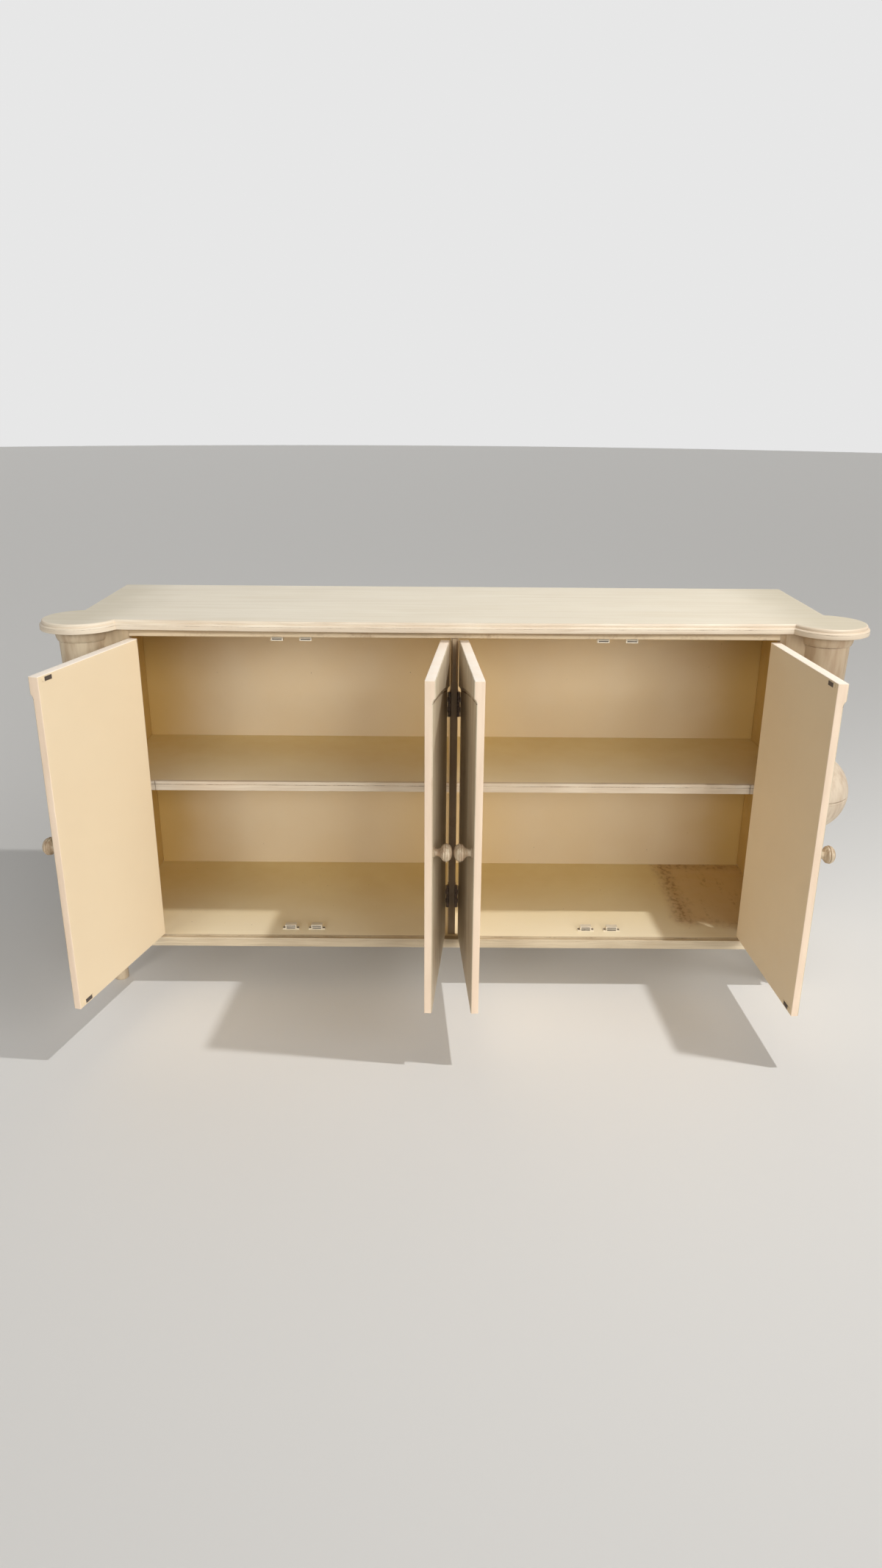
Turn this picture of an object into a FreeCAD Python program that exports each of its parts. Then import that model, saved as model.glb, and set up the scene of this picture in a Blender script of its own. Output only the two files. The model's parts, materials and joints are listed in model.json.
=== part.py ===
"""Painted credenza: a two-bay carcass between turned corner columns, with two pairs of doors.

Millimetres, +Z up, +X to the right seen from the front, +Y to the back. The doors are modelled
standing open. The origin is on the floor, under the middle of the whole footprint.
"""
import FreeCAD, Part
import math
import os

from FreeCAD import Vector

# Overall sizes
HEIGHT = 940.0
CARCASS_WIDTH = 1714.0
CARCASS_DEPTH = 442.0
LEG_HEIGHT = 115.0

# Boards
TOP_THICK = 22.0
RAIL_HEIGHT = 19.0
RAIL_DEPTH = 60.0
BASE_THICK = 22.0
SIDE_THICK = 19.0
STILE_THICK = 22.0
STILE_WIDTH = 112.5
PARTITION_THICK = 18.0
BACK_THICK = 8.0
BACK_INSET = 4.0
SHELF_THICK = 24.0
SHELF_UNDERSIDE = 364.0
SHELF_SETBACK = 56.0
LIPPING_DEPTH = 10.0
LIPPING_GROOVE = 1.5
LIPPING_GROOVE_DOWN = 9.0
LIPPING_STOP = 12.0
END_BLOCK_WIDTH = 18.0
END_BLOCK_GAP = 1.5
CLEAT = 20.0
CLEAT_LENGTH = 330.0

# Top slab: overhangs, bowed front, round lobes over the columns, moulded edge
TOP_SIDE_OVERHANG = 20.0
TOP_FRONT_OVERHANG = 20.5
TOP_BOW = 15.0
LOBE_R = 91.0
BAND_HEIGHT = 10.5
GROOVE_HEIGHT = 1.6
GROOVE_DEPTH = 3.0
LIP_INSET = 1.5
LIP_ROUND = 4.0
BAND_ROUND = 2.5
ROUND_STEPS = 4

# Base moulding along the front of the bottom board
BASE_MOULD_DEPTH = 27.0
BASE_LIP_WIDTH = 14.0
BASE_LIP_DROP = 1.5
BASE_COVE_DROP = 4.0
BASE_BAND_HEIGHT = 12.0
BASE_GROOVE = 1.8
BASE_UNDERCUT = 2.0

# Corner columns, turned about an axis near the carcass corner
COLUMN_INSET_X = 4.5
COLUMN_SET_BACK = 10.0
CAPITAL_HEIGHT = 27.0
CAPITAL_PROUD = 6.8
CAPITAL_FOOT_PROUD = 2.8
CAPITAL_SWELL = 1.2
CAPITAL_FILLET = 3.0
SHAFT_TOP_R = 51.7
SHAFT_FOOT_R = 46.0
BALL_R = 96.6
BALL_HEIGHT = 531.0
BALL_GROOVE = 2.4
BALL_ARC_MIDDLE = 35.0
LEG_TOP_R = 38.0
LEG_RING_R = 41.0
LEG_RING_HEIGHT = 14.0
LEG_RING_SWELL = 2.0
ANKLE_R = 31.0
FOOT_R = 18.0
FOOT_HEIGHT = 34.0
FOOT_FLARE = 3.0
FOOT_NECK = 6.0
FOOT_ROUND = 4.0
REAR_LEG_TOP = 46.0
REAR_LEG_FOOT = 30.0
REAR_LEG_INSET = 8.0

# Doors
HINGE_GAP = 3.0
PAIR_GAP = 2.5
DOOR_CLEAR = 3.0
DOOR_THICK = 16.8
HEADER_PROUD = 5.4
ARCH_CROWN_DROP = 48.0
ARCH_SPRING_DROP = 120.0
ARCH_RISE = 5.5
COVE_HEIGHT = 12.0
BLOCK_BOTTOM_DROP = 99.0
OPEN_FAR_LEFT = 106.0
OPEN_FAR_RIGHT = 94.0
OPEN_MID_SKEW = 0.5
KNOB_REST_GAP = 2.46

# Butt hinges
PIN_FORWARD = 5.0
PIN_R = 2.0
KNUCKLE_R = 3.6
KNUCKLE_COUNT = 5
HINGE_HEIGHT = 60.0
HINGE_END_CLEAR = 0.2
LEAF_THICK = 1.2
LEAF_DEPTH = 14.0
LEAF_START = 0.8
PIN_PRESS_CLEAR = 0.02
PIN_RUN_CLEAR = 0.05
UPPER_HINGE_DROP = 122.0
LOWER_HINGE_RISE = 77.0
HINGE_SCREW_SPAN = 36.0
SCREW_R = 1.6
SCREW_HEAD_R = 3.0
SCREW_HEAD = 1.0
SCREW_LENGTH = 9.0
SCREW_END_CLEAR = 1.5

# Knobs
KNOB_FROM_EDGE = 26.0
KNOB_BASE_R = 12.0
KNOB_BASE = 3.0
KNOB_NECK_R = 8.0
KNOB_HEAD_R = 19.5
KNOB_RING_R = 17.5
KNOB_STEP = 1.6
KNOB_BACK_RING = 4.0
KNOB_RIM = 11.5
KNOB_DOME = 9.5
KNOB_PROJECTION = 40.0
KNOB_TENON_R = 5.0
KNOB_TENON = 10.0
KNOB_TENON_CLEAR = 0.05

# Magnetic catches and strike plates
CATCH_FROM_MEETING = 33.0
CATCH_BODY_WIDTH = 28.0
CATCH_WIDTH = 42.0
CATCH_DEPTH = 13.0
CATCH_HEIGHT = 13.0
CATCH_EAR = 3.0
CATCH_FRONT_CLEAR = 0.3
POLE_THICK = 1.6
POLE_PROUD = 0.8
CATCH_WALL = 3.0
MAGNET_SET_BACK = 1.0
MAGNET_THICK = 4.0
STRIKE_WIDTH = 39.0
STRIKE_HEIGHT = 11.0
STRIKE_THICK = 1.2
STRIKE_EDGE = 3.0
STRIKE_SCREW_SPAN = 32.0
CATCH_SCREW_SPAN = 35.0

# Fits between fixed pieces that meet on a curve
SCRIBE_CLEAR = 0.25

# How far a cut runs past the face it opens
CUT_PAST = 1.0

# Heights and places worked out from the sizes above
TOP_UNDER = HEIGHT - TOP_THICK
RAIL_UNDER = TOP_UNDER - RAIL_HEIGHT
BASE_TOP = LEG_HEIGHT + BASE_THICK
HALF_CARCASS = CARCASS_WIDTH / 2.0
HALF_OPENING = HALF_CARCASS - STILE_WIDTH
HALF_PARTITION = PARTITION_THICK / 2.0
INNER_SIDE = HALF_CARCASS - SIDE_THICK
BACK_FACE = CARCASS_DEPTH - BACK_INSET - BACK_THICK
COLUMN_X = HALF_CARCASS - COLUMN_INSET_X
COLUMN_Y = COLUMN_SET_BACK
TOP_SIDE_X = HALF_CARCASS + TOP_SIDE_OVERHANG
SHELF_UNDER_Z = BASE_TOP + SHELF_UNDERSIDE
SHELF_TOP_Z = SHELF_UNDER_Z + SHELF_THICK
LIPPING_END = HALF_OPENING - LIPPING_STOP
DOOR_BOTTOM = BASE_TOP + DOOR_CLEAR
DOOR_TOP = RAIL_UNDER - DOOR_CLEAR
BAY = HALF_OPENING - HALF_PARTITION
DOOR_WIDTH = (BAY - 2.0 * HINGE_GAP - PAIR_GAP) / 2.0
PIN_OFFSET = HINGE_GAP / 2.0
PIN_OUTER_X = HALF_OPENING - PIN_OFFSET
PIN_INNER_X = HALF_PARTITION + PIN_OFFSET
BAY_MIDDLE = (HALF_OPENING + HALF_PARTITION) / 2.0
HINGE_SCREW_LENGTH = HALF_PARTITION + LEAF_THICK - SCREW_END_CLEAR
UPPER_HINGE_Z = DOOR_TOP - UPPER_HINGE_DROP - HINGE_HEIGHT
LOWER_HINGE_Z = DOOR_BOTTOM + LOWER_HINGE_RISE
DOOR_INNER = DOOR_THICK
CATCH_FRONT = DOOR_INNER + STRIKE_THICK + CATCH_FRONT_CLEAR
CAPITAL_R = SHAFT_TOP_R + CAPITAL_PROUD
CAPITAL_FOOT_R = SHAFT_TOP_R + CAPITAL_FOOT_PROUD
BALL_TOP_Z = BALL_HEIGHT + math.sqrt(BALL_R ** 2 - SHAFT_FOOT_R ** 2)
BALL_FOOT_Z = BALL_HEIGHT - math.sqrt(BALL_R ** 2 - LEG_RING_R ** 2)

Z_AXIS = Vector(0, 0, 1)
Y_AXIS = Vector(0, 1, 0)
ORIGIN = Vector(0, 0, 0)


def box(x0, x1, y0, y1, z0, z1):
    """Block between two corners, whichever way round they are given."""
    low = Vector(min(x0, x1), min(y0, y1), min(z0, z1))
    return Part.makeBox(abs(x1 - x0), abs(y1 - y0), abs(z1 - z0), low)


def cylinder(radius, length, base, direction):
    return Part.makeCylinder(radius, length, base, direction)


def arc(start, middle, end):
    return Part.Arc(start, middle, end).toShape()


def line(start, end):
    return Part.LineSegment(start, end).toShape()


def mirrored(shape):
    """The same piece on the other side of the middle plane."""
    return shape.mirror(ORIGIN, Vector(1, 0, 0))


def turned(points, x, y):
    """Solid turned about an upright axis from a profile of (radius, height) points.

    A point with three values is the middle of an arc from the point before it to the point after it.
    """
    edges = []
    place = [Vector(p[0], 0, p[1]) for p in points]
    index = 0
    while index < len(points) - 1:
        if len(points[index + 1]) == 3:
            edges.append(arc(place[index], place[index + 1], place[index + 2]))
            index += 2
        else:
            edges.append(line(place[index], place[index + 1]))
            index += 1
    edges.append(line(place[-1], place[0]))
    solid = Part.Face(Part.Wire(edges)).revolve(ORIGIN, Z_AXIS, 360)
    solid.translate(Vector(x, y, 0))
    return solid


def group(solids):
    return Part.makeCompound(solids)


def circle_meeting(centre_a, radius_a, centre_b, radius_b, towards):
    """The crossing of two plan circles that lies nearest to a given point."""
    apart = centre_b.sub(centre_a)
    distance = apart.Length
    along = (radius_a ** 2 - radius_b ** 2 + distance ** 2) / (2.0 * distance)
    across = math.sqrt(radius_a ** 2 - along ** 2)
    unit = Vector(apart.x / distance, apart.y / distance, 0)
    middle = centre_a.add(Vector(unit.x * along, unit.y * along, 0))
    side = Vector(-unit.y * across, unit.x * across, 0)
    return min((middle.add(side), middle.sub(side)), key=lambda p: p.sub(towards).Length)


def top_outline(inset):
    """Plan of the top: straight back and sides, a lobe at each front corner, a bowed front.

    The inset draws the sides, lobes and front in by the same amount and leaves the back where it is.
    """
    lobe_r = LOBE_R - inset
    side_x = TOP_SIDE_X - inset
    lobe = Vector(COLUMN_X, COLUMN_Y, 0)
    front_end = COLUMN_X - math.sqrt(LOBE_R ** 2 - (COLUMN_Y + TOP_FRONT_OVERHANG) ** 2)
    bow_r = (front_end ** 2 + TOP_BOW ** 2) / (2.0 * TOP_BOW)
    bow_y = bow_r - TOP_FRONT_OVERHANG - TOP_BOW
    bow = Vector(0, bow_y, 0)
    front_corner = circle_meeting(lobe, lobe_r, bow, bow_r - inset, Vector(front_end, -TOP_FRONT_OVERHANG, 0))
    side_corner = Vector(side_x, COLUMN_Y + math.sqrt(lobe_r ** 2 - (side_x - COLUMN_X) ** 2), 0)
    outward = Vector(1, -1, 0).normalize()
    lobe_middle = lobe.add(Vector(outward.x * lobe_r, outward.y * lobe_r, 0))
    back_corner = Vector(side_x, CARCASS_DEPTH, 0)
    bow_front = Vector(0, bow_y - bow_r + inset, 0)

    def left(point):
        return Vector(-point.x, point.y, 0)

    edges = [line(left(back_corner), back_corner), line(back_corner, side_corner)]
    edges.append(arc(side_corner, lobe_middle, front_corner))
    edges.append(arc(front_corner, bow_front, left(front_corner)))
    edges.append(arc(left(front_corner), left(lobe_middle), left(side_corner)))
    edges.append(line(left(side_corner), left(back_corner)))
    return Part.Wire(edges)


def edge_round(inset, z, radius, at_top):
    """Quarter round at a layer's rim, as (inset, height) steps from its lower to its upper end."""
    steps = []
    for index in range(ROUND_STEPS + 1):
        turn = math.radians(90.0 * index / ROUND_STEPS)
        if at_top:
            steps.append((inset + radius * (1.0 - math.cos(turn)), z - radius * (1.0 - math.sin(turn))))
        else:
            steps.append((inset + radius * (1.0 - math.sin(turn)), z + radius * (1.0 - math.cos(turn))))
    return steps


def moulded_layer(steps):
    """Solid through outlines of the top at the given (inset, height) steps."""
    wires = []
    for inset, z in steps:
        wire = top_outline(inset)
        wire.translate(Vector(0, 0, z))
        wires.append(wire)
    return Part.makeLoft(wires, True, True)


def make_top_slab():
    """Rounded lip over a narrow groove over a rounded band."""
    groove_z = TOP_UNDER + BAND_HEIGHT
    lip_z = groove_z + GROOVE_HEIGHT
    band_low = edge_round(0.0, TOP_UNDER, BAND_ROUND, False)
    band = moulded_layer(band_low + edge_round(0.0, groove_z, BAND_ROUND, True))
    groove = moulded_layer([(GROOVE_DEPTH, groove_z), (GROOVE_DEPTH, lip_z)])
    lip = moulded_layer([(LIP_INSET, lip_z)] + edge_round(LIP_INSET, HEIGHT, LIP_ROUND, True))
    return band.fuse([groove, lip]).removeSplitter()


def make_base_moulding():
    """Front moulding of the base: cove behind a flat lip, then groove and rounded band down the face."""
    front = -BASE_MOULD_DEPTH
    lip_z = BASE_TOP - BASE_LIP_DROP
    lip_back = front + BASE_LIP_WIDTH
    under = LEG_HEIGHT - BASE_UNDERCUT
    band_top = under + BASE_BAND_HEIGHT
    groove_y = front + BASE_GROOVE
    lip_round = (lip_z - band_top - BASE_GROOVE) / 2.0
    points = {
        "back_low": (0.0, under), "back_top": (0.0, BASE_TOP),
        "cove": (lip_back / 2.0, lip_z - BASE_COVE_DROP),
        "lip_back": (lip_back, lip_z), "lip_front": (front + lip_round, lip_z),
        "lip_nose": (front, lip_z - lip_round), "lip_foot": (front + lip_round, lip_z - 2.0 * lip_round),
        "groove_top": (groove_y, lip_z - 2.0 * lip_round), "groove_low": (groove_y, band_top),
        "band_nose": (front, (under + band_top) / 2.0), "band_low": (groove_y, under),
    }
    at = {name: Vector(0, y, z) for name, (y, z) in points.items()}
    edges = [line(at["back_low"], at["back_top"]), arc(at["back_top"], at["cove"], at["lip_back"])]
    edges.append(line(at["lip_back"], at["lip_front"]))
    edges.append(arc(at["lip_front"], at["lip_nose"], at["lip_foot"]))
    edges.append(line(at["lip_foot"], at["groove_top"]))
    edges.append(line(at["groove_top"], at["groove_low"]))
    edges.append(arc(at["groove_low"], at["band_nose"], at["band_low"]))
    edges.append(line(at["band_low"], at["back_low"]))
    half = COLUMN_X - ANKLE_R - SCRIBE_CLEAR
    face = Part.Face(Part.Wire(edges))
    face.translate(Vector(-half, 0, 0))
    return face.extrude(Vector(2.0 * half, 0, 0))


def corner_space(side):
    """Space that the carcass corner takes out of a column."""
    return box(0, side * HALF_CARCASS, 0, CARCASS_DEPTH, LEG_HEIGHT, TOP_UNDER)


def shaft_profile(grow):
    """Capital and shaft profile, all radii grown by the same small amount."""
    neck_z = TOP_UNDER - CAPITAL_HEIGHT
    ring_z = neck_z + CAPITAL_FILLET
    swell_r = (CAPITAL_R + CAPITAL_FOOT_R) / 2.0 + CAPITAL_SWELL
    swell_z = (TOP_UNDER + ring_z) / 2.0
    fillet_r = SHAFT_TOP_R + CAPITAL_FILLET / 4.0
    return [
        (0.0, TOP_UNDER), (CAPITAL_R + grow, TOP_UNDER), (swell_r + grow, swell_z, "arc"),
        (CAPITAL_FOOT_R + grow, ring_z), (fillet_r + grow, ring_z), (fillet_r + grow, neck_z),
        (SHAFT_TOP_R + grow, neck_z), (SHAFT_FOOT_R + grow, BALL_TOP_Z), (0.0, BALL_TOP_Z),
    ]


def ball_profile():
    """Ball cut flat where shaft and leg meet it, with a narrow groove round its middle."""
    groove_r = BALL_R - BALL_GROOVE
    half = BALL_GROOVE / 2.0
    edge_r = math.sqrt(BALL_R ** 2 - half ** 2)
    rise = math.radians(BALL_ARC_MIDDLE)
    high = (BALL_R * math.cos(rise), BALL_HEIGHT + BALL_R * math.sin(rise), "arc")
    low = (BALL_R * math.cos(rise), BALL_HEIGHT - BALL_R * math.sin(rise), "arc")
    return [
        (0.0, BALL_TOP_Z), (SHAFT_FOOT_R, BALL_TOP_Z), high, (edge_r, BALL_HEIGHT + half),
        (groove_r, BALL_HEIGHT), (edge_r, BALL_HEIGHT - half), low, (LEG_RING_R, BALL_FOOT_Z),
        (0.0, BALL_FOOT_Z),
    ]


def leg_profile():
    """Rounded ring under the ball, taper to the ankle beside the base, then a slim foot."""
    ring_low = BALL_FOOT_Z - LEG_RING_HEIGHT
    ring_nose = LEG_RING_R + LEG_RING_SWELL
    ankle_low = LEG_HEIGHT - BASE_UNDERCUT
    foot_top_r = FOOT_R + FOOT_FLARE
    corner = FOOT_ROUND * (1.0 - math.sqrt(0.5))
    return [
        (0.0, BALL_FOOT_Z), (LEG_RING_R, BALL_FOOT_Z),
        (ring_nose, BALL_FOOT_Z - LEG_RING_HEIGHT / 2.0, "arc"), (LEG_TOP_R, ring_low),
        (ANKLE_R, BASE_TOP), (ANKLE_R, ankle_low),
        (foot_top_r, FOOT_HEIGHT), (FOOT_R, FOOT_HEIGHT - FOOT_NECK),
        (FOOT_R, FOOT_ROUND), (FOOT_R - corner, corner, "arc"), (FOOT_R - FOOT_ROUND, 0.0), (0.0, 0.0),
    ]


def column_piece(profile, side):
    """Turned piece at one front corner, rebated over the carcass corner."""
    return turned(profile, side * COLUMN_X, COLUMN_Y).cut(corner_space(side))


def make_rear_leg(side):
    """Square leg under a rear corner, tapering to its foot."""
    x = side * (HALF_CARCASS - REAR_LEG_INSET - REAR_LEG_TOP / 2.0)
    y = BACK_FACE - REAR_LEG_INSET - REAR_LEG_TOP / 2.0

    def square(size, z):
        half = size / 2.0
        corners = [(x - half, y - half), (x + half, y - half), (x + half, y + half), (x - half, y + half)]
        return Part.makePolygon([Vector(a, b, z) for a, b in corners + corners[:1]])

    return Part.makeLoft([square(REAR_LEG_FOOT, 0.0), square(REAR_LEG_TOP, LEG_HEIGHT)], True, True)


def cove_sink(width, proud):
    """Height of a cove's arc half way across, for an arc that starts flat and rises by proud over width."""
    radius = (width ** 2 + proud ** 2) / (2.0 * proud)
    return radius - math.sqrt(radius ** 2 - (width / 2.0) ** 2)


def make_spandrel_block(side):
    """Raised block at the top of an end stile, coved towards the doors and scribed to the column."""
    low = DOOR_TOP - BLOCK_BOTTOM_DROP
    inner = HALF_OPENING
    outer = COLUMN_X - SHAFT_TOP_R / 2.0
    face_inner = inner + COVE_HEIGHT
    face = -HEADER_PROUD
    hollow = Vector(inner + COVE_HEIGHT / 2.0, -cove_sink(COVE_HEIGHT, HEADER_PROUD), low)
    edges = [line(Vector(inner, 0, low), Vector(outer, 0, low))]
    edges.append(line(Vector(outer, 0, low), Vector(outer, face, low)))
    edges.append(line(Vector(outer, face, low), Vector(face_inner, face, low)))
    edges.append(arc(Vector(face_inner, face, low), hollow, Vector(inner, 0, low)))
    block = Part.Face(Part.Wire(edges)).extrude(Vector(0, 0, TOP_UNDER - low))
    block = block.cut(turned(shaft_profile(SCRIBE_CLEAR), COLUMN_X, COLUMN_Y))
    return block if side > 0 else mirrored(block)


def make_partition_block():
    """Raised block at the top of the partition, coved on both sides."""
    low = DOOR_TOP - BLOCK_BOTTOM_DROP
    half = HALF_PARTITION
    flat = half / 2.0
    face = -HEADER_PROUD
    waist = (half + flat) / 2.0
    sink = -cove_sink(half - flat, HEADER_PROUD)
    edges = [line(Vector(-half, 0, low), Vector(half, 0, low))]
    edges.append(arc(Vector(half, 0, low), Vector(waist, sink, low), Vector(flat, face, low)))
    edges.append(line(Vector(flat, face, low), Vector(-flat, face, low)))
    edges.append(arc(Vector(-flat, face, low), Vector(-waist, sink, low), Vector(-half, 0, low)))
    return Part.Face(Part.Wire(edges)).extrude(Vector(0, 0, RAIL_UNDER - low))


def make_lipping(side):
    """Strip along a shelf's front edge with a fine groove under its upper lip."""
    front = SHELF_SETBACK
    inner = side * HALF_PARTITION
    outer = side * LIPPING_END
    groove_z = SHELF_TOP_Z - LIPPING_GROOVE_DOWN
    strip = box(inner, outer, front, front + LIPPING_DEPTH, SHELF_UNDER_Z, SHELF_TOP_Z)
    groove = box(inner, outer, front, front + LIPPING_GROOVE, groove_z, groove_z + LIPPING_GROOVE)
    return strip.cut(groove)


def make_shelf(side):
    front = SHELF_SETBACK + LIPPING_DEPTH
    return box(side * HALF_PARTITION, side * INNER_SIDE, front, BACK_FACE, SHELF_UNDER_Z, SHELF_TOP_Z)


def make_end_blocks():
    """Small block beyond the outer end of each lipping."""
    front = SHELF_SETBACK
    blocks = []
    for side in (-1, 1):
        inner = side * (LIPPING_END + END_BLOCK_GAP)
        outer = side * (LIPPING_END + END_BLOCK_GAP + END_BLOCK_WIDTH)
        blocks.append(box(inner, outer, front, front + LIPPING_DEPTH, SHELF_UNDER_Z, SHELF_TOP_Z))
    return group(blocks)


def make_cleats():
    """Battens under the shelf ends, on the side panels and on the partition."""
    back = BACK_FACE
    front = back - CLEAT_LENGTH
    low = SHELF_UNDER_Z - CLEAT
    cleats = []
    for side in (-1, 1):
        for wall, reach in ((INNER_SIDE, -CLEAT), (HALF_PARTITION, CLEAT)):
            cleats.append(box(side * wall, side * (wall + reach), front, back, low, SHELF_UNDER_Z))
    return group(cleats)


def screw(head_centre, direction, length=SCREW_LENGTH):
    """Countersunk screw whose flat head ends at head_centre and whose shank runs along direction."""
    cone = Part.makeCone(SCREW_HEAD_R, SCREW_R, SCREW_HEAD, head_centre, direction)
    shank_start = head_centre.add(Vector(direction).multiply(SCREW_HEAD))
    return cone.fuse(cylinder(SCREW_R, length - SCREW_HEAD, shank_start, direction)).removeSplitter()


def drilled(piece, screws):
    """A piece with the seats of its screws taken out."""
    return piece.cut(screws)


def knuckle_heights(for_door):
    """Start height of each knuckle of one leaf, counted from the hinge's lower end."""
    length = HINGE_HEIGHT / KNUCKLE_COUNT
    first = 1 if for_door else 0
    return [index * length for index in range(first, KNUCKLE_COUNT, 2)]


def make_leaf(z0, side, for_door):
    """Leaf of a butt hinge about a pin axis at the local origin.

    The leaf lies at side (+1 or -1 along X) of the axis and reaches back from it.
    """
    outer = side * PIN_OFFSET
    inner = side * (PIN_OFFSET - LEAF_THICK)
    back = PIN_FORWARD + LEAF_DEPTH - LEAF_START
    length = HINGE_HEIGHT / KNUCKLE_COUNT - HINGE_END_CLEAR
    bore = PIN_R + (PIN_RUN_CLEAR if for_door else PIN_PRESS_CLEAR)
    leaf = box(inner, outer, PIN_FORWARD - LEAF_START, back, z0, z0 + HINGE_HEIGHT - HINGE_END_CLEAR)
    knuckles = []
    for start in knuckle_heights(for_door):
        low = z0 + start
        knuckles.append(cylinder(KNUCKLE_R, length, Vector(0, 0, low), Z_AXIS))
        knuckles.append(box(inner, outer, 0, PIN_FORWARD - LEAF_START, low, low + length))
    leaf = leaf.fuse(knuckles).removeSplitter()
    return leaf.cut(cylinder(bore, HINGE_HEIGHT, Vector(0, 0, z0), Z_AXIS))


def leaf_screws(z0, side):
    """Two screws through one leaf, driven away from the pin axis."""
    seat_x = side * (PIN_OFFSET - LEAF_THICK)
    y = PIN_FORWARD + (LEAF_DEPTH - LEAF_START) / 2.0
    middle = z0 + HINGE_HEIGHT / 2.0
    screws = []
    for half in (-1, 1):
        head = Vector(seat_x, y, middle + half * HINGE_SCREW_SPAN / 2.0)
        screws.append(screw(head, Vector(side, 0, 0), HINGE_SCREW_LENGTH))
    return screws


def hinge_levels():
    return (LOWER_HINGE_Z, UPPER_HINGE_Z)


def arch_circle():
    """Centre and radius of the header's lower edge, in the door's own X and Z.

    The edge runs from the spring at the hinge side up to the crown at the free side.
    """
    spring = Vector(PIN_OFFSET, 0, DOOR_TOP - ARCH_SPRING_DROP)
    crown = Vector(PIN_OFFSET + DOOR_WIDTH, 0, DOOR_TOP - ARCH_CROWN_DROP)
    chord = crown.sub(spring)
    radius = (chord.Length ** 2 / 4.0 + ARCH_RISE ** 2) / (2.0 * ARCH_RISE)
    middle = spring.add(crown).multiply(0.5)
    downwards = Vector(chord.z, 0, -chord.x).normalize()
    return middle.add(downwards.multiply(radius - ARCH_RISE)), radius


def recess_cut():
    """Disc that sinks the door's face below the arch, with a coved rim up to the header."""
    centre, radius = arch_circle()
    face = PIN_FORWARD - HEADER_PROUD
    rim = radius + COVE_HEIGHT
    hollow = Vector(radius + COVE_HEIGHT / 2.0, PIN_FORWARD - cove_sink(COVE_HEIGHT, HEADER_PROUD), 0)
    outside = face - CUT_PAST
    edges = [line(Vector(0, outside, 0), Vector(0, PIN_FORWARD, 0))]
    edges.append(line(Vector(0, PIN_FORWARD, 0), Vector(radius, PIN_FORWARD, 0)))
    edges.append(arc(Vector(radius, PIN_FORWARD, 0), hollow, Vector(rim, face, 0)))
    edges.append(line(Vector(rim, face, 0), Vector(rim, outside, 0)))
    edges.append(line(Vector(rim, outside, 0), Vector(0, outside, 0)))
    disc = Part.Face(Part.Wire(edges)).revolve(ORIGIN, Y_AXIS, 360)
    disc.translate(Vector(centre.x, 0, centre.z))
    return disc


def knob_axis():
    """Where a knob stands on the door's face, in the door's own frame."""
    return Vector(PIN_OFFSET + DOOR_WIDTH - KNOB_FROM_EDGE, PIN_FORWARD, (DOOR_BOTTOM + DOOR_TOP) / 2.0)


def dome_middle(radius, z, apex):
    """Middle point of the arc that rises from (radius, z) to the apex with its centre on the axis."""
    rise = apex - z
    dome_r = (radius ** 2 + rise ** 2) / (2.0 * rise)
    half_turn = math.asin(radius / dome_r) / 2.0
    return (dome_r * math.sin(half_turn), apex - dome_r * (1.0 - math.cos(half_turn)), "arc")


def make_knob():
    """Turned knob: tenon, base flange, neck, and a head of back ring, swelling rim and domed front."""
    dome_z = KNOB_PROJECTION - KNOB_DOME
    rim_z = dome_z - KNOB_RIM
    head_z = rim_z - KNOB_BACK_RING
    dome_r = KNOB_RING_R - KNOB_STEP
    points = [
        (0.0, -KNOB_TENON), (KNOB_TENON_R, -KNOB_TENON), (KNOB_TENON_R, 0.0), (KNOB_BASE_R, 0.0),
        (KNOB_BASE_R, KNOB_BASE), (KNOB_NECK_R, KNOB_BASE + KNOB_STEP), (KNOB_NECK_R, head_z - KNOB_STEP),
        (dome_r, head_z), (KNOB_RING_R, rim_z), (KNOB_RING_R + KNOB_STEP / 2.0, rim_z),
        (KNOB_HEAD_R, rim_z + KNOB_RIM / 2.0, "arc"), (KNOB_RING_R, dome_z),
        (dome_r, dome_z), dome_middle(dome_r, dome_z, KNOB_PROJECTION), (0.0, KNOB_PROJECTION),
    ]
    knob = turned(points, 0, 0)
    knob.rotate(ORIGIN, Vector(1, 0, 0), 90)
    knob.translate(knob_axis())
    return knob


def strike_x():
    """Middle of the strike plates along the door, opposite the catches."""
    return PIN_OFFSET + DOOR_WIDTH + PAIR_GAP / 2.0 - CATCH_FROM_MEETING


def strike_bottoms():
    return (DOOR_BOTTOM + STRIKE_EDGE, DOOR_TOP - STRIKE_EDGE - STRIKE_HEIGHT)


def strike_screws():
    """Two screws through each strike plate into the door's inner face."""
    face_y = PIN_FORWARD + DOOR_INNER + STRIKE_THICK
    screws = []
    for low in strike_bottoms():
        for half in (-1, 1):
            x = strike_x() + half * STRIKE_SCREW_SPAN / 2.0
            screws.append(screw(Vector(x, face_y, low + STRIKE_HEIGHT / 2.0), Vector(0, -1, 0)))
    return screws


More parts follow.
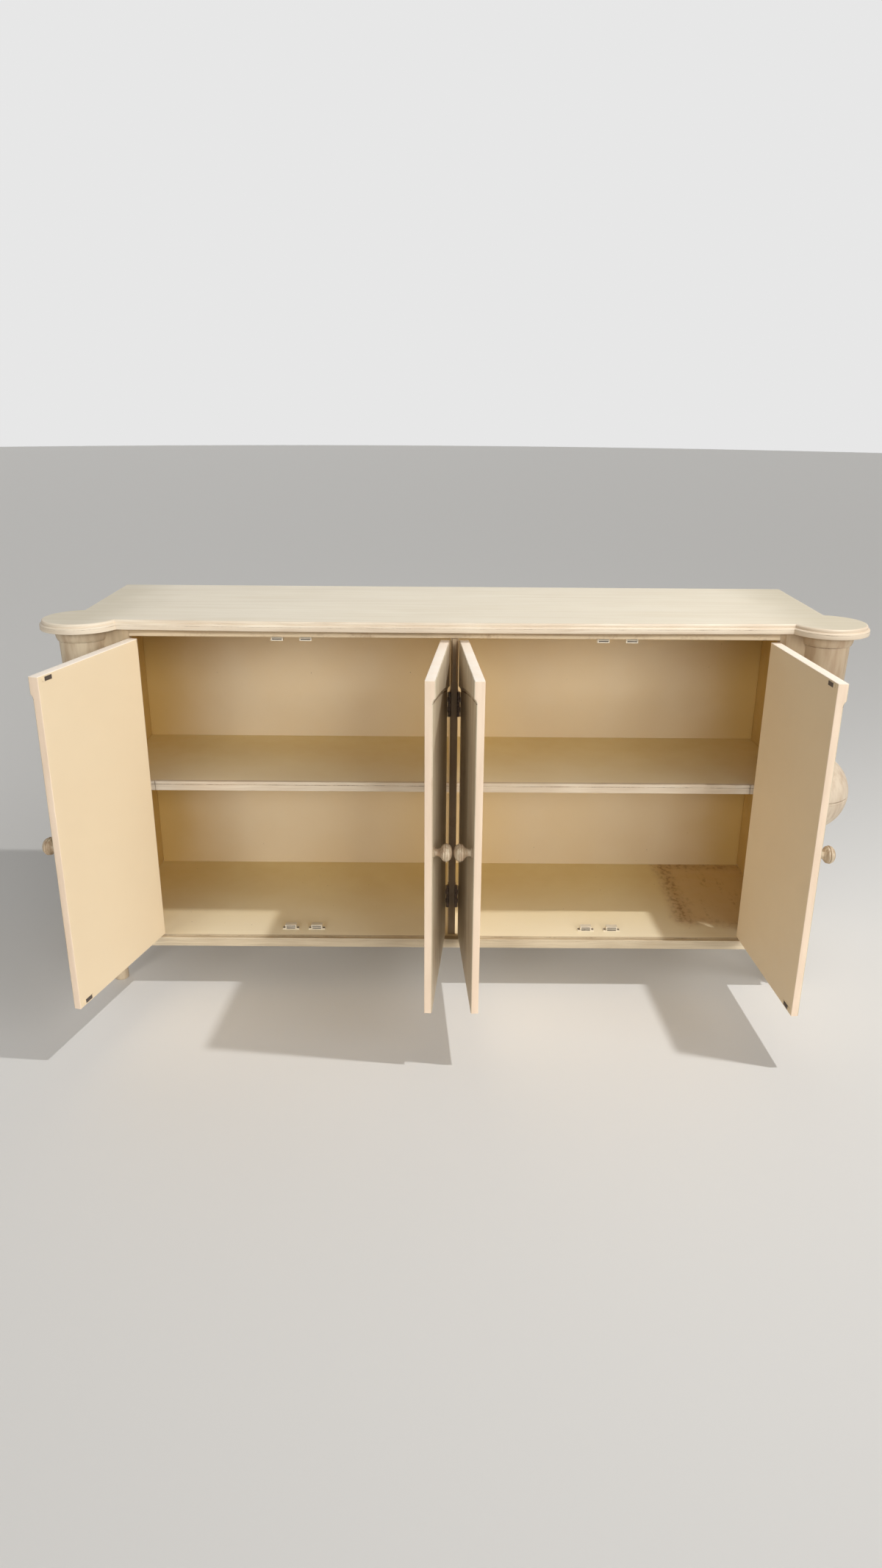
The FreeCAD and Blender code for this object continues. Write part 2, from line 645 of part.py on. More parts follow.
def make_door_set():
    """Pieces of a door that hangs at its left, closed, with the pin axis at the local origin."""
    pieces = {}
    hinge_screws = []
    leaves = []
    for z0 in hinge_levels():
        screws = leaf_screws(z0, 1)
        leaves.append(drilled(make_leaf(z0, 1, True), screws))
        hinge_screws += screws
    plate_screws = strike_screws()
    strikes = []
    face_y = PIN_FORWARD + DOOR_INNER
    for low in strike_bottoms():
        x = strike_x()
        plate = box(x - STRIKE_WIDTH / 2.0, x + STRIKE_WIDTH / 2.0, face_y, face_y + STRIKE_THICK,
                    low, low + STRIKE_HEIGHT)
        strikes.append(drilled(plate, plate_screws))
    header_y = PIN_FORWARD - HEADER_PROUD
    panel = box(PIN_OFFSET, PIN_OFFSET + DOOR_WIDTH, header_y, face_y, DOOR_BOTTOM, DOOR_TOP)
    panel = panel.cut(recess_cut())
    hole = cylinder(KNOB_TENON_R + KNOB_TENON_CLEAR, KNOB_TENON, knob_axis(), Y_AXIS)
    pieces["door"] = drilled(panel, [hole] + hinge_screws + plate_screws)
    pieces["knob"] = make_knob()
    pieces["hinge_leaves"] = group(leaves)
    pieces["hinge_screws"] = group(hinge_screws)
    pieces["strike_plates"] = group(strikes)
    pieces["strike_screws"] = group(plate_screws)
    return pieces


def middle_opening():
    """Angle at which the two middle doors stand with their knobs almost touching."""
    along = knob_axis().x
    forward = KNOB_PROJECTION - PIN_FORWARD
    reach = math.hypot(along, forward)
    short_of_pin = (KNOB_REST_GAP / 2.0 - PIN_INNER_X) / reach
    return math.degrees(math.acos(short_of_pin) - math.atan2(forward, along))


# Each door: name, pin position across the front, whether it hangs at its right, opening angle
DOORS = (
    ("far_left", -PIN_OUTER_X, False, OPEN_FAR_LEFT),
    ("mid_left", -PIN_INNER_X, True, middle_opening() - OPEN_MID_SKEW),
    ("mid_right", PIN_INNER_X, False, middle_opening() + OPEN_MID_SKEW),
    ("far_right", PIN_OUTER_X, True, OPEN_FAR_RIGHT),
)


def hung(shape, pin_x, hangs_right, angle):
    """A door piece swung open and put on its pin."""
    placed = mirrored(shape) if hangs_right else shape.copy()
    placed.rotate(ORIGIN, Z_AXIS, angle if hangs_right else -angle)
    placed.translate(Vector(pin_x, -PIN_FORWARD, 0))
    return placed


def frame_hinges():
    """Frame leaves, their screws and the pins of all the hinges, with the screws sorted by carrier."""
    leaves = []
    pins = []
    screws = {"left_stile": [], "partition": [], "right_stile": []}
    for name, pin_x, hangs_right, angle in DOORS:
        side = 1 if hangs_right else -1
        carrier = "partition" if name.startswith("mid") else name.replace("far_", "") + "_stile"
        for z0 in hinge_levels():
            place = Vector(pin_x, -PIN_FORWARD, 0)
            own_screws = leaf_screws(z0, side)
            leaf = drilled(make_leaf(z0, side, False), own_screws)
            leaf.translate(place)
            leaves.append(leaf)
            for one in own_screws:
                one.translate(place)
            screws[carrier] += own_screws
            pins.append(cylinder(PIN_R, HINGE_HEIGHT, place.add(Vector(0, 0, z0)), Z_AXIS))
    return leaves, pins, screws


def catch_places():
    """Middle of each catch across the front, the height of its seat and which way it stands off it."""
    places = []
    for side in (-1, 1):
        for half in (-1, 1):
            x = side * BAY_MIDDLE + half * CATCH_FROM_MEETING
            places.append((x, BASE_TOP, 1))
            places.append((x, RAIL_UNDER, -1))
    return places


def make_catch(x, seat, up):
    """Body, pole plates, magnet and screws of one catch; up is the way it stands off its seat."""
    front = CATCH_FRONT
    body_front = front + POLE_PROUD
    back = body_front + CATCH_DEPTH
    top = seat + up * CATCH_HEIGHT
    half = CATCH_BODY_WIDTH / 2.0
    body = box(x - half, x + half, body_front, back, seat, top)
    ears = box(x - CATCH_WIDTH / 2.0, x + CATCH_WIDTH / 2.0, body_front, back, seat, seat + up * CATCH_EAR)
    middle = seat + up * CATCH_HEIGHT / 2.0
    plate_half = CATCH_BODY_WIDTH / 2.0 - CATCH_WALL
    gap = MAGNET_THICK / 2.0
    deep = back - CATCH_WALL
    magnet_front = body_front + MAGNET_SET_BACK
    magnet = box(x - plate_half, x + plate_half, magnet_front, deep, middle - gap, middle + gap)
    poles = []
    for way in (-1, 1):
        inner = middle + way * gap
        poles.append(box(x - plate_half, x + plate_half, front, deep, inner, inner + way * POLE_THICK))
    screws = []
    for way in (-1, 1):
        head = Vector(x + way * CATCH_SCREW_SPAN / 2.0, (body_front + back) / 2.0, seat + up * CATCH_EAR)
        screws.append(screw(head, Vector(0, 0, -up)))
    housing = body.fuse(ears).removeSplitter().cut([magnet] + poles + screws)
    slot = box(x - plate_half, x + plate_half, body_front, magnet_front, middle - gap, middle + gap)
    return housing.cut(slot), poles, magnet, screws


def build():
    """All the pieces by name, with the front plane of the carcass at Y = 0."""
    nodes = {}
    leaves, pins, hinge_screws = frame_hinges()
    catches = [make_catch(*place) for place in catch_places()]
    catch_screws = [one for catch in catches for one in catch[3]]
    base_screws = [one for one in catch_screws if one.BoundBox.ZMax < BALL_HEIGHT]
    rail_screws = [one for one in catch_screws if one.BoundBox.ZMin > BALL_HEIGHT]

    nodes["top_slab"] = make_top_slab()
    rail = box(-HALF_OPENING, HALF_OPENING, 0, RAIL_DEPTH, RAIL_UNDER, TOP_UNDER)
    nodes["top_rail"] = drilled(rail, rail_screws)
    nodes["sub_top"] = box(-INNER_SIDE, INNER_SIDE, RAIL_DEPTH, BACK_FACE, RAIL_UNDER, TOP_UNDER)
    board = box(-HALF_CARCASS, HALF_CARCASS, 0, BACK_FACE, LEG_HEIGHT, BASE_TOP)
    nodes["bottom_board"] = drilled(board, base_screws)
    nodes["base_moulding"] = make_base_moulding()
    back = box(-INNER_SIDE, INNER_SIDE, BACK_FACE, BACK_FACE + BACK_THICK, LEG_HEIGHT, TOP_UNDER)
    nodes["back_panel"] = back
    partition = box(-HALF_PARTITION, HALF_PARTITION, 0, BACK_FACE, BASE_TOP, RAIL_UNDER)
    nodes["partition"] = drilled(partition, hinge_screws["partition"])
    nodes["partition_block"] = make_partition_block()
    for word, side in (("left", -1), ("right", 1)):
        panel = box(side * INNER_SIDE, side * HALF_CARCASS, STILE_THICK, CARCASS_DEPTH, BASE_TOP, TOP_UNDER)
        stile = box(side * HALF_OPENING, side * HALF_CARCASS, 0, STILE_THICK, BASE_TOP, TOP_UNDER)
        nodes[word + "_side_panel"] = panel
        nodes[word + "_stile"] = drilled(stile, hinge_screws[word + "_stile"])
        nodes[word + "_spandrel_block"] = make_spandrel_block(side)
        nodes[word + "_shelf"] = make_shelf(side)
        nodes[word + "_shelf_lipping"] = make_lipping(side)
        nodes[word + "_column_shaft"] = column_piece(shaft_profile(0.0), side)
        nodes[word + "_column_ball"] = column_piece(ball_profile(), side)
        nodes[word + "_column_leg"] = column_piece(leg_profile(), side)
        nodes[word + "_rear_leg"] = make_rear_leg(side)
    nodes["shelf_end_blocks"] = make_end_blocks()
    nodes["shelf_cleats"] = make_cleats()
    nodes["catch_bodies"] = group([catch[0] for catch in catches])
    nodes["catch_pole_plates"] = group([pole for catch in catches for pole in catch[1]])
    nodes["catch_magnets"] = group([catch[2] for catch in catches])
    nodes["catch_screws"] = group(catch_screws)
    nodes["frame_hinge_leaves"] = group(leaves)
    nodes["frame_hinge_screws"] = group([one for carrier in hinge_screws.values() for one in carrier])
    nodes["hinge_pins"] = group(pins)
    pieces = make_door_set()
    for name, pin_x, hangs_right, angle in DOORS:
        for piece, shape in pieces.items():
            nodes[name + "_" + piece] = hung(shape, pin_x, hangs_right, angle)
    return nodes


def main():
    os.makedirs("parts", exist_ok=True)
    nodes = build()
    footprint = Part.makeCompound(list(nodes.values())).optimalBoundingBox()
    to_middle = -(footprint.YMin + footprint.YMax) / 2.0
    for name, shape in nodes.items():
        shape.translate(Vector(0, to_middle, 0))
        shape.exportStep("parts/" + name + ".step")
    print("pieces", len(nodes))
    for name, pin_x, hangs_right, angle in DOORS:
        print("%s door: pin at x = %.3f, open by %.4f degrees" % (name, pin_x, angle))
    print("front plane of the carcass at y = %.4f" % to_middle)
    print("overall %.2f x %.2f x %.2f" % (footprint.XLength, footprint.YLength, footprint.ZLength))


main()
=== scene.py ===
"""Painted credenza: surfaces, paint and stage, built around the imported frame."""
import json
import math

import bpy
import numpy as np
from bpy.props import FloatProperty, FloatVectorProperty, PointerProperty
from mathutils import Matrix, Vector


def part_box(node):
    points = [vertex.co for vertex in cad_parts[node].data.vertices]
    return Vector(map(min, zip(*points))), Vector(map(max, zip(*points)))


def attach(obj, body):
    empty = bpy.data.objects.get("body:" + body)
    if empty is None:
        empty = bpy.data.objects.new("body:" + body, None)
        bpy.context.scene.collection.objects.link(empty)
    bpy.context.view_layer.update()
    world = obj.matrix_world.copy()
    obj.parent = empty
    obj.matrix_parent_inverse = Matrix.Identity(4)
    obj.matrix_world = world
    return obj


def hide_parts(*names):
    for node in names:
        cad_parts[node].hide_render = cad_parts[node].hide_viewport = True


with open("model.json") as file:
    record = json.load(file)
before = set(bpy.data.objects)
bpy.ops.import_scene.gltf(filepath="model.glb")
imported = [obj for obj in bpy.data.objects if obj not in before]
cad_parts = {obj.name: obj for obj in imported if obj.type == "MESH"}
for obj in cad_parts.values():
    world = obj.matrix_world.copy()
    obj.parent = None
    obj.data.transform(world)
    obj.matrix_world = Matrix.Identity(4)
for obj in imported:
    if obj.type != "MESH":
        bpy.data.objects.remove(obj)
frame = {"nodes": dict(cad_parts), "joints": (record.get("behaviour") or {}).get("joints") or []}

bl_info = {
    "name": "Painted credenza",
    "version": (1, 0, 0),
    "blender": (4, 5, 0),
    "location": "View3D > Sidebar > Credenza",
    "description": "Builds the surfaces, the worn paint and the stage of a credenza with turned columns",
    "category": "Object",
}

MM = 0.001
MICRONS = 1e6
TAU = 2.0 * math.pi
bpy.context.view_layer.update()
JOINTS = {joint["child"]: joint for joint in frame["joints"]}
CARCASS = "carcass"
DOORS = ("far_left", "mid_left", "mid_right", "far_right")
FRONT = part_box("partition")[0][1]


def srgb(red, green, blue):
    """Scene-linear colour of an sRGB colour given in 0 to 255."""
    parts = []
    for value in (red, green, blue):
        share = value / 255.0
        parts.append(share / 12.92 if share <= 0.04045 else ((share + 0.055) / 1.055) ** 2.4)
    return tuple(parts)


def length(label, default, what):
    return FloatProperty(name=label, description=what, default=default, min=0.0, unit="LENGTH", precision=4)


def colour(label, default, what):
    return FloatVectorProperty(name=label, description=what, default=default, size=3, subtype="COLOR",
                               min=0.0, max=1.0)


class CredenzaSizes(bpy.types.PropertyGroup):
    """Sizes of the surfaces that the frame doesn't give"""

    board_round: length("Board rounding", 1.2 * MM, "Radius on the edges of the boards")
    rub_band: length("Rubbed band", 9.0 * MM, "How far wear reaches in from an edge")
    door_thick: length("Door thickness", 16.8 * MM, "Door thickness behind the sunk face")
    header_proud: length("Header relief", 5.4 * MM, "How far the arched header stands out of the door")
    cove: length("Cove height", 12.0 * MM, "Height of the hollow under the header")
    arch_crown: length("Arch crown", 48.0 * MM, "Drop of the header's lower edge at the meeting side")
    arch_spring: length("Arch spring", 120.0 * MM, "Drop of the header's lower edge at the hinge side")
    arch_rise: length("Arch rise", 5.5 * MM, "Rise of the header's lower edge above its chord")
    door_round: length("Door rounding", 1.8 * MM, "Radius on the door's outer edges")
    door_inner_round: length("Inner door rounding", 1.2 * MM, "Radius on the door's inner edges")


class CredenzaColours(bpy.types.PropertyGroup):
    """Colours of the finishes"""

    cream: colour("Top cream", srgb(228, 217, 194), "Brushed paint of the top")
    cream_shade: colour("Top streak", srgb(196, 178, 150), "Darker streaks in the top's paint")
    # Darker, greyer tone blended in over the round ends of the top.
    lobe: colour("Lobe cream", srgb(197, 185, 159), "Greyer paint on the round ends of the top")
    outside: colour("Outside cream", srgb(216, 202, 175), "Brushed paint of the outside")
    outside_shade: colour("Outside streak", srgb(160, 132, 102), "Brown strokes on the outside")
    edge: colour("Edge cream", srgb(229, 216, 194), "Paint on the moulded edges")
    edge_shade: colour("Edge streak", srgb(184, 156, 126), "Brown streaks along the moulded edges")
    # Greyer, darker base: partly its own grey paint, partly painted shade from the open doors.
    plinth: colour("Base cream", srgb(214, 198, 169), "Greyer paint of the base moulding")
    plinth_shade: colour("Base streak", srgb(160, 138, 108), "Streaks along the base moulding")
    # Darker, browner front frame: partly real brown strokes, partly painted shade under the top and between
    # the doors.
    post: colour("Frame cream", srgb(196, 175, 142), "Browner paint of the rail, stiles and partition front")
    post_shade: colour("Frame streak", srgb(144, 115, 84), "Brown strokes on the front frame")
    turned: colour("Turned cream", srgb(210, 193, 164), "Paint of the columns and knobs")
    turned_shade: colour("Turned streak", srgb(158, 128, 98), "Brown strokes on the columns and knobs")
    inside: colour("Inside cream", srgb(236, 217, 184), "Smooth paint of the inside")
    inside_shade: colour("Inside shade", srgb(229, 204, 160), "Uneven patches in the inside paint")
    # Yellower shelves and bottom board: partly their own paint, partly painted shade in yellow bounce light.
    shelf: colour("Shelf cream", srgb(232, 212, 157), "Yellower paint of the shelves and the bottom board")
    shelf_shade: colour("Shelf shade", srgb(219, 193, 130), "Uneven patches on the shelves")
    # Painted light: the shelves and the bottom board turn paler towards their lit front.
    worn: colour("Worn shelf", srgb(246, 234, 206), "Paler paint towards the front of the shelves")
    # Painted shade: yellower tone beside the partition, where the middle doors shade the inside.
    warm: colour("Warm paint", srgb(238, 210, 150), "Yellower paint beside the partition")
    # Painted shade: the inside darkens and yellows towards its ends and corners, as shade and bounce light
    # would.
    aged: colour("Yellowed paint", srgb(188, 150, 66), "Paint gone yellow towards the ends of the inside")
    door: colour("Door cream", srgb(234, 213, 179), "Smooth paint of the doors' inner faces")
    door_edge: colour("Door edge cream", srgb(243, 220, 194), "Paler paint on the doors' edges")
    # Painted highlight: the doors' tops are near white, as where the lamp from above lights them.
    door_top: colour("Door top cream", srgb(253, 241, 225), "Rubbed paint on the doors' tops")
    door_edge_shade: colour("Door edge streak", srgb(216, 188, 160), "Streaks along the doors' edges")
    glaze: colour("Glaze", srgb(104, 76, 50), "Brown glaze left in grooves and corners")
    rubbed: colour("Rubbed edge", srgb(150, 118, 84), "Brown that shows where edges are rubbed")
    stain: colour("Water stain", srgb(204, 166, 108), "Tan stain on the bottom board")
    stain_rim: colour("Stain rim", srgb(120, 70, 26), "Dark ragged rim of the stain")
    bronze: colour("Dark bronze", srgb(150, 132, 120), "Hinges")
    bronze_shade: colour("Bronze tarnish", srgb(108, 94, 84), "Duller patches on the hinges")
    strike: colour("Strike metal", srgb(92, 82, 76), "Strike plates of the catches")
    strike_shade: colour("Strike tarnish", srgb(74, 65, 59), "Duller patches on the strike plates")
    steel: colour("Dark steel", srgb(82, 74, 68), "Pole plates and catch screws")
    steel_shade: colour("Steel tarnish", srgb(60, 56, 52), "Duller patches on the pole plates")
    plastic: colour("Ivory plastic", srgb(228, 217, 196), "Bodies of the magnetic catches")
    floor: colour("Floor", srgb(234, 232, 228), "Plain pale floor")


def sizes():
    return bpy.context.scene.credenza_sizes


def panel_colour(label):
    return tuple(getattr(bpy.context.scene.credenza_colours, label))


# Surfaces


class Surface:
    """Points, faces and wear marks of a mesh, worked out as whole arrays.

    rub is 1 on an edge that hands and cloths reach, glaze is 1 in a groove that holds brown glaze.
    finish gives each face the number of one of the piece's finishes.
    """

    def __init__(self, points, quads=(), caps=(), rub=0.0, glaze=0.0):
        count = len(points)
        self.points = np.asarray(points, float)
        self.faces = np.asarray(quads, int).reshape(-1, 4).tolist() + [list(cap) for cap in caps]
        self.rub = np.broadcast_to(rub, (count,)).astype(float)
        self.glaze = np.broadcast_to(glaze, (count,)).astype(float)
        self.finish = [0] * len(self.faces)

    def moved(self, matrix):
        """Copy under a 4x4 matrix; faces turn over if the matrix mirrors."""
        grid = np.asarray(matrix)
        order = -1 if np.linalg.det(grid[:3, :3]) < 0.0 else 1
        other = Surface(self.points @ grid[:3, :3].T + grid[:3, 3], rub=self.rub, glaze=self.glaze)
        other.faces = [face[::order] for face in self.faces]
        other.finish = list(self.finish)
        return other


def joined(surfaces):
    """One surface made of several."""
    points, rub, glaze = (np.concatenate([getattr(part, label) for part in surfaces])
                          for label in ("points", "rub", "glaze"))
    whole = Surface(points, rub=rub, glaze=glaze)
    start = 0
    for part in surfaces:
        whole.faces += [[index + start for index in face] for face in part.faces]
        whole.finish += part.finish
        start += len(part.points)
    return whole


def welded(surface):
    """Points at the same place become one, and faces that closed up are dropped."""
    keys = np.round(surface.points * MICRONS).astype(np.int64)
    first, back = np.unique(keys, axis=0, return_index=True, return_inverse=True)[1:]
    back = back.reshape(-1)
    whole = Surface(surface.points[first], rub=surface.rub[first], glaze=surface.glaze[first])
    for face, kind in zip(surface.faces, surface.finish):
        corners = list(dict.fromkeys(back[face].tolist()))
        if len(corners) > 2:
            whole.faces.append(corners)
            whole.finish.append(kind)
    return whole


def put_in_scene(name, data):
    """Object for a mesh, a lens or a lamp, linked to the scene."""
    thing = bpy.data.objects.new(name, data)
    bpy.context.scene.collection.objects.link(thing)
    return thing


SHARP_EDGE = math.radians(38.0)


def make_piece(name, surface, finishes, body, node):
    """Mesh object for a surface with its finishes as materials; it rides on a body and replaces a node."""
    mesh = bpy.data.meshes.new(name)
    mesh.from_pydata(surface.points.tolist(), [], surface.faces)
    for label in ("rub", "glaze"):
        layer = mesh.attributes.new(label, "FLOAT", "POINT")
        layer.data.foreach_set("value", getattr(surface, label).astype(np.float32))
    for finish in finishes:
        mesh.materials.append(FINISHES[finish])
    mesh.polygons.foreach_set("material_index", np.asarray(surface.finish, np.int32))
    mesh.polygons.foreach_set("use_smooth", np.ones(len(mesh.polygons), bool))
    mesh.set_sharp_from_angle(angle=SHARP_EDGE)
    mesh.update()
    piece = put_in_scene(name, mesh)
    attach(piece, body)
    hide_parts(node)


def grid_quads(rows, columns, closed=False):
    """Quads of a rows x columns grid of points, wrapped along its columns if closed."""
    across = columns if closed else columns - 1
    row, column = np.meshgrid(np.arange(rows - 1), np.arange(across), indexing="ij")
    here = row * columns
    after = (column + 1) % columns
    corners = [here + column, here + after, here + columns + after, here + columns + column]
    return np.stack([corner.reshape(-1) for corner in corners], axis=1)


def stacked(rings, rub=0.0, glaze=0.0):
    """Closed rings of points joined one to the next, with a flat face on the first and the last."""
    count = len(rings[0])
    last = (len(rings) - 1) * count
    caps = [range(count)[::-1], range(last, last + count)]
    return Surface(np.concatenate(rings), grid_quads(len(rings), count, closed=True), caps, rub, glaze)


ROUND_STEPS = 3


def rounded_box(low, high, radius, band):
    """Box with rounded edges: a cube grid's points are drawn to the inner box and pushed out by the radius.

    Grid lines stand at r tan(a) past the inner box for even angles a, so the rounding is even, and one
    more line lies a band further in, where the wear ends.
    """
    low = np.asarray(low, float)
    high = np.asarray(high, float)
    centre = (low + high) / 2.0
    half = (high - low) / 2.0
    radius = min(radius, 0.45 * half.min())
    inner = half - radius
    spread = radius * np.tan(np.linspace(0.0, math.pi / 4.0, ROUND_STEPS + 1))
    lines = []
    for axis in range(3):
        out = inner[axis] + spread
        reach = inner[axis] - band
        if reach > 0.25 * band:
            out = np.concatenate([[reach], out])
        lines.append(np.concatenate([-out[::-1], out]))
    parts = []
    for axis in range(3):
        first, second = (axis + 1) % 3, (axis + 2) % 3
        for sign in (-1, 1):
            u, v = np.meshgrid(lines[first], lines[second], indexing="ij")
            cube = np.zeros(u.shape + (3,))
            cube[..., first] = u
            cube[..., second] = v
            cube[..., axis] = sign * half[axis]
            core = np.clip(cube, -inner, inner)
            away = cube - core
            points = core + away / np.linalg.norm(away, axis=-1, keepdims=True) * radius + centre
            edge = (np.abs(away) > 1e-9).sum(axis=-1) > 1
            edge |= (np.abs(np.abs(cube) - inner) < 1e-9).any(axis=-1)
            quads = grid_quads(len(lines[first]), len(lines[second]))[:, ::-sign]
            parts.append(Surface(points.reshape(-1, 3), quads, rub=edge.reshape(-1)))
    return welded(joined(parts))


def extruded(outline, start, end, rub=0.0, glaze=0.0):
    """A closed outline in (y, z) carried along x from start to end, with flat ends."""
    count = len(outline)
    rings = [np.column_stack([np.full(count, x), outline]) for x in (start, end)]
    marks = [np.tile(np.broadcast_to(mark, (count,)), 2) for mark in (rub, glaze)]
    return stacked(rings, *marks)


def turned(profile, turns):
    """Surface of revolution about z: profile rows (r, z, rub, glaze) swept round; ends on the axis close."""
    angle = np.linspace(0.0, TAU, turns, endpoint=False)
    radius = profile[:, :1]
    height = np.repeat(profile[:, 1:2], turns, axis=1)
    points = np.stack([radius * np.cos(angle), radius * np.sin(angle), height], axis=-1)
    marks = np.repeat(profile[:, 2:], turns, axis=0).T
    return welded(Surface(points.reshape(-1, 3), grid_quads(len(profile), turns, closed=True), (), *marks))


def arc(centre, radius, start, end, count):
    """Points on a circle from one angle to another, in degrees."""
    angle = np.radians(np.linspace(start, end, count))
    return np.column_stack([centre[0] + radius * np.cos(angle), centre[1] + radius * np.sin(angle)])


def quarter(count=6):
    """Even angles from 0 to a right angle, both included."""
    return np.linspace(0.0, math.pi / 2.0, count)


def marked(points, rub=0.0, glaze=0.0):
    """Profile rows: points in mm with their rub and glaze, each one value for all points or one for each."""
    marks = [np.broadcast_to(mark, (len(points),)) for mark in (rub, glaze)]
    return np.column_stack([np.asarray(points, float)] + marks)


# Takes profile rows from mm to metres.
IN_METRES = np.array([MM, MM, 1.0, 1.0])


# Shader groups and finishes


# Both are filled once, by name, and shared by the pieces.
GROUPS = {}
FINISHES = {}


def new_group(name, inputs, outputs):
    """Empty shader node group with the given sockets, and its input and output nodes."""
    group = bpy.data.node_groups.new(name, "ShaderNodeTree")
    for label, kind, default in inputs:
        socket = group.interface.new_socket(label, in_out="INPUT", socket_type=kind)
        socket.default_value = default
    for label in outputs:
        group.interface.new_socket(label, in_out="OUTPUT", socket_type="NodeSocketFloat")
    return group, group.nodes.new("NodeGroupInput"), group.nodes.new("NodeGroupOutput")


def add(tree, kind, **settings):
    """Node with its properties set; a setting named after a socket sets that socket's value."""
    node = tree.nodes.new(kind)
    for label, value in settings.items():
        if hasattr(node, label):
            setattr(node, label, value)
        else:
            node.inputs[label.replace("_", " ").title()].default_value = value
    return node


def link(tree, source, target):
    tree.links.new(source, target)


def math_node(tree, operation, first, second=0.0):
    """Arithmetic on two values, each a socket or a number."""
    node = add(tree, "ShaderNodeMath", operation=operation)
    for socket, value in zip(node.inputs, (first, second)):
        if isinstance(value, (int, float)):
            socket.default_value = value
        else:
            link(tree, value, socket)
    return node.outputs[0]


def times(tree, first, second):
    return math_node(tree, "MULTIPLY", first, second)


def plus(tree, first, second):
    return math_node(tree, "ADD", first, second)


def minus(tree, first, second):
    return math_node(tree, "SUBTRACT", first, second)


def greater(tree, first, second):
    return math_node(tree, "MAXIMUM", first, second)


def ramp(tree, value, low, high):
    """Smooth step of a value from 0 at low to 1 at high."""
    node = add(tree, "ShaderNodeMapRange", interpolation_type="SMOOTHSTEP", clamp=True)
    node.inputs["From Min"].default_value = low
    node.inputs["From Max"].default_value = high
    link(tree, value, node.inputs["Value"])
    return node.outputs["Result"]


def object_place(tree):
    return add(tree, "ShaderNodeTexCoord").outputs["Object"]


def noise(tree, vector, scale, detail, roughness):
    node = add(tree, "ShaderNodeTexNoise", scale=scale, detail=detail, roughness=roughness)
    link(tree, vector, node.inputs["Vector"])
    return node.outputs["Fac"]


def drawn_out(tree, place, scale):
    """Coordinates scaled along each axis, so that noise on them is drawn out."""
    node = add(tree, "ShaderNodeMapping")
    node.inputs["Scale"].default_value = scale
    link(tree, place, node.inputs["Vector"])
    return node.outputs[0]


def blend_colour(tree, factor, first, second):
    """Mix of two colours, each a socket or a colour, by a factor socket."""
    node = add(tree, "ShaderNodeMix", data_type="RGBA")
    link(tree, factor, node.inputs[0])
    for socket, value in zip((node.inputs[6], node.inputs[7]), (first, second)):
        if isinstance(value, tuple):
            socket.default_value = value + (1.0,)
        else:
            link(tree, value, socket)
    return node.outputs[2]


WAVER = 12.0 * MM


def streak_group():
    """Brush strokes and clouds: soft noise on Object coordinates.

    The strokes' coordinates are first shifted a little by slow noise, so that they waver, and then drawn out
    along one axis by the Stretch input.
    """
    group, source, result = new_group(
        "Brush strokes", [("Stretch", "NodeSocketVector", (1.0, 1.0, 1.0))], ["Fine", "Broad", "Cloud"])
    place = object_place(group)
    slow = add(group, "ShaderNodeTexNoise", scale=7.0, detail=1.0)
    link(group, place, slow.inputs["Vector"])
    waver = add(group, "ShaderNodeVectorMath", operation="MULTIPLY_ADD")
    link(group, slow.outputs["Color"], waver.inputs[0])
    waver.inputs[1].default_value = (WAVER, WAVER, WAVER)
    link(group, place, waver.inputs[2])
    scaled = add(group, "ShaderNodeVectorMath", operation="MULTIPLY")
    link(group, waver.outputs[0], scaled.inputs[0])
    link(group, source.outputs["Stretch"], scaled.inputs[1])
    drawn = scaled.outputs[0]
    for label, vector, scale, detail, roughness, low, high in (("Fine", drawn, 9.0, 3.0, 0.5, 0.36, 0.72),
                                                               ("Broad", drawn, 2.4, 2.0, 0.45, 0.34, 0.68),
                                                               ("Cloud", place, 6.0, 2.0, 0.45, 0.32, 0.68)):
        spread = noise(group, vector, scale, detail, roughness)
        link(group, ramp(group, spread, low, high), result.inputs[label])
    return group


PATCH_SHARE = 0.7


def wear_group():
    """Wear masks: the mesh's rub and glaze marks broken up by noise on Object coordinates."""
    group, source, result = new_group(
        "Worn paint", [("Rub", "NodeSocketFloat", 0.6), ("Glaze", "NodeSocketFloat", 0.8)],
        ["Rubbed", "Glazed"])
    place = object_place(group)
    patch = noise(group, place, 14.0, 3.0, 0.6)
    grit = noise(group, place, 160.0, 3.0, 0.6)
    mixed = plus(group, times(group, patch, PATCH_SHARE), times(group, grit, 1.0 - PATCH_SHARE))
    for label, mask in (("Rub", "Rubbed"), ("Glaze", "Glazed")):
        mark = add(group, "ShaderNodeAttribute", attribute_name=label.lower()).outputs["Fac"]
        raised = plus(group, times(group, mark, source.outputs[label]), mixed)
        seen = times(group, ramp(group, raised, 0.78, 1.12), ramp(group, mark, 0.02, 0.5))
        link(group, seen, result.inputs[mask])
    return group


def speck_group():
    """Small dark specks: the middles of a few Voronoi cells, chosen by each cell's own random value."""
    group, source, result = new_group(
        "Paint specks", [("Scale", "NodeSocketFloat", 60.0), ("Share", "NodeSocketFloat", 0.12)], ["Specks"])
    cells = add(group, "ShaderNodeTexVoronoi")
    link(group, object_place(group), cells.inputs["Vector"])
    link(group, source.outputs["Scale"], cells.inputs["Scale"])
    middle = minus(group, 1.0, ramp(group, cells.outputs["Distance"], 0.05, 0.13))
    split = add(group, "ShaderNodeSeparateColor")
    link(group, cells.outputs["Color"], split.inputs[0])
    chosen = math_node(group, "LESS_THAN", split.outputs[0], source.outputs["Share"])
    link(group, times(group, middle, chosen), result.inputs["Specks"])
    return group


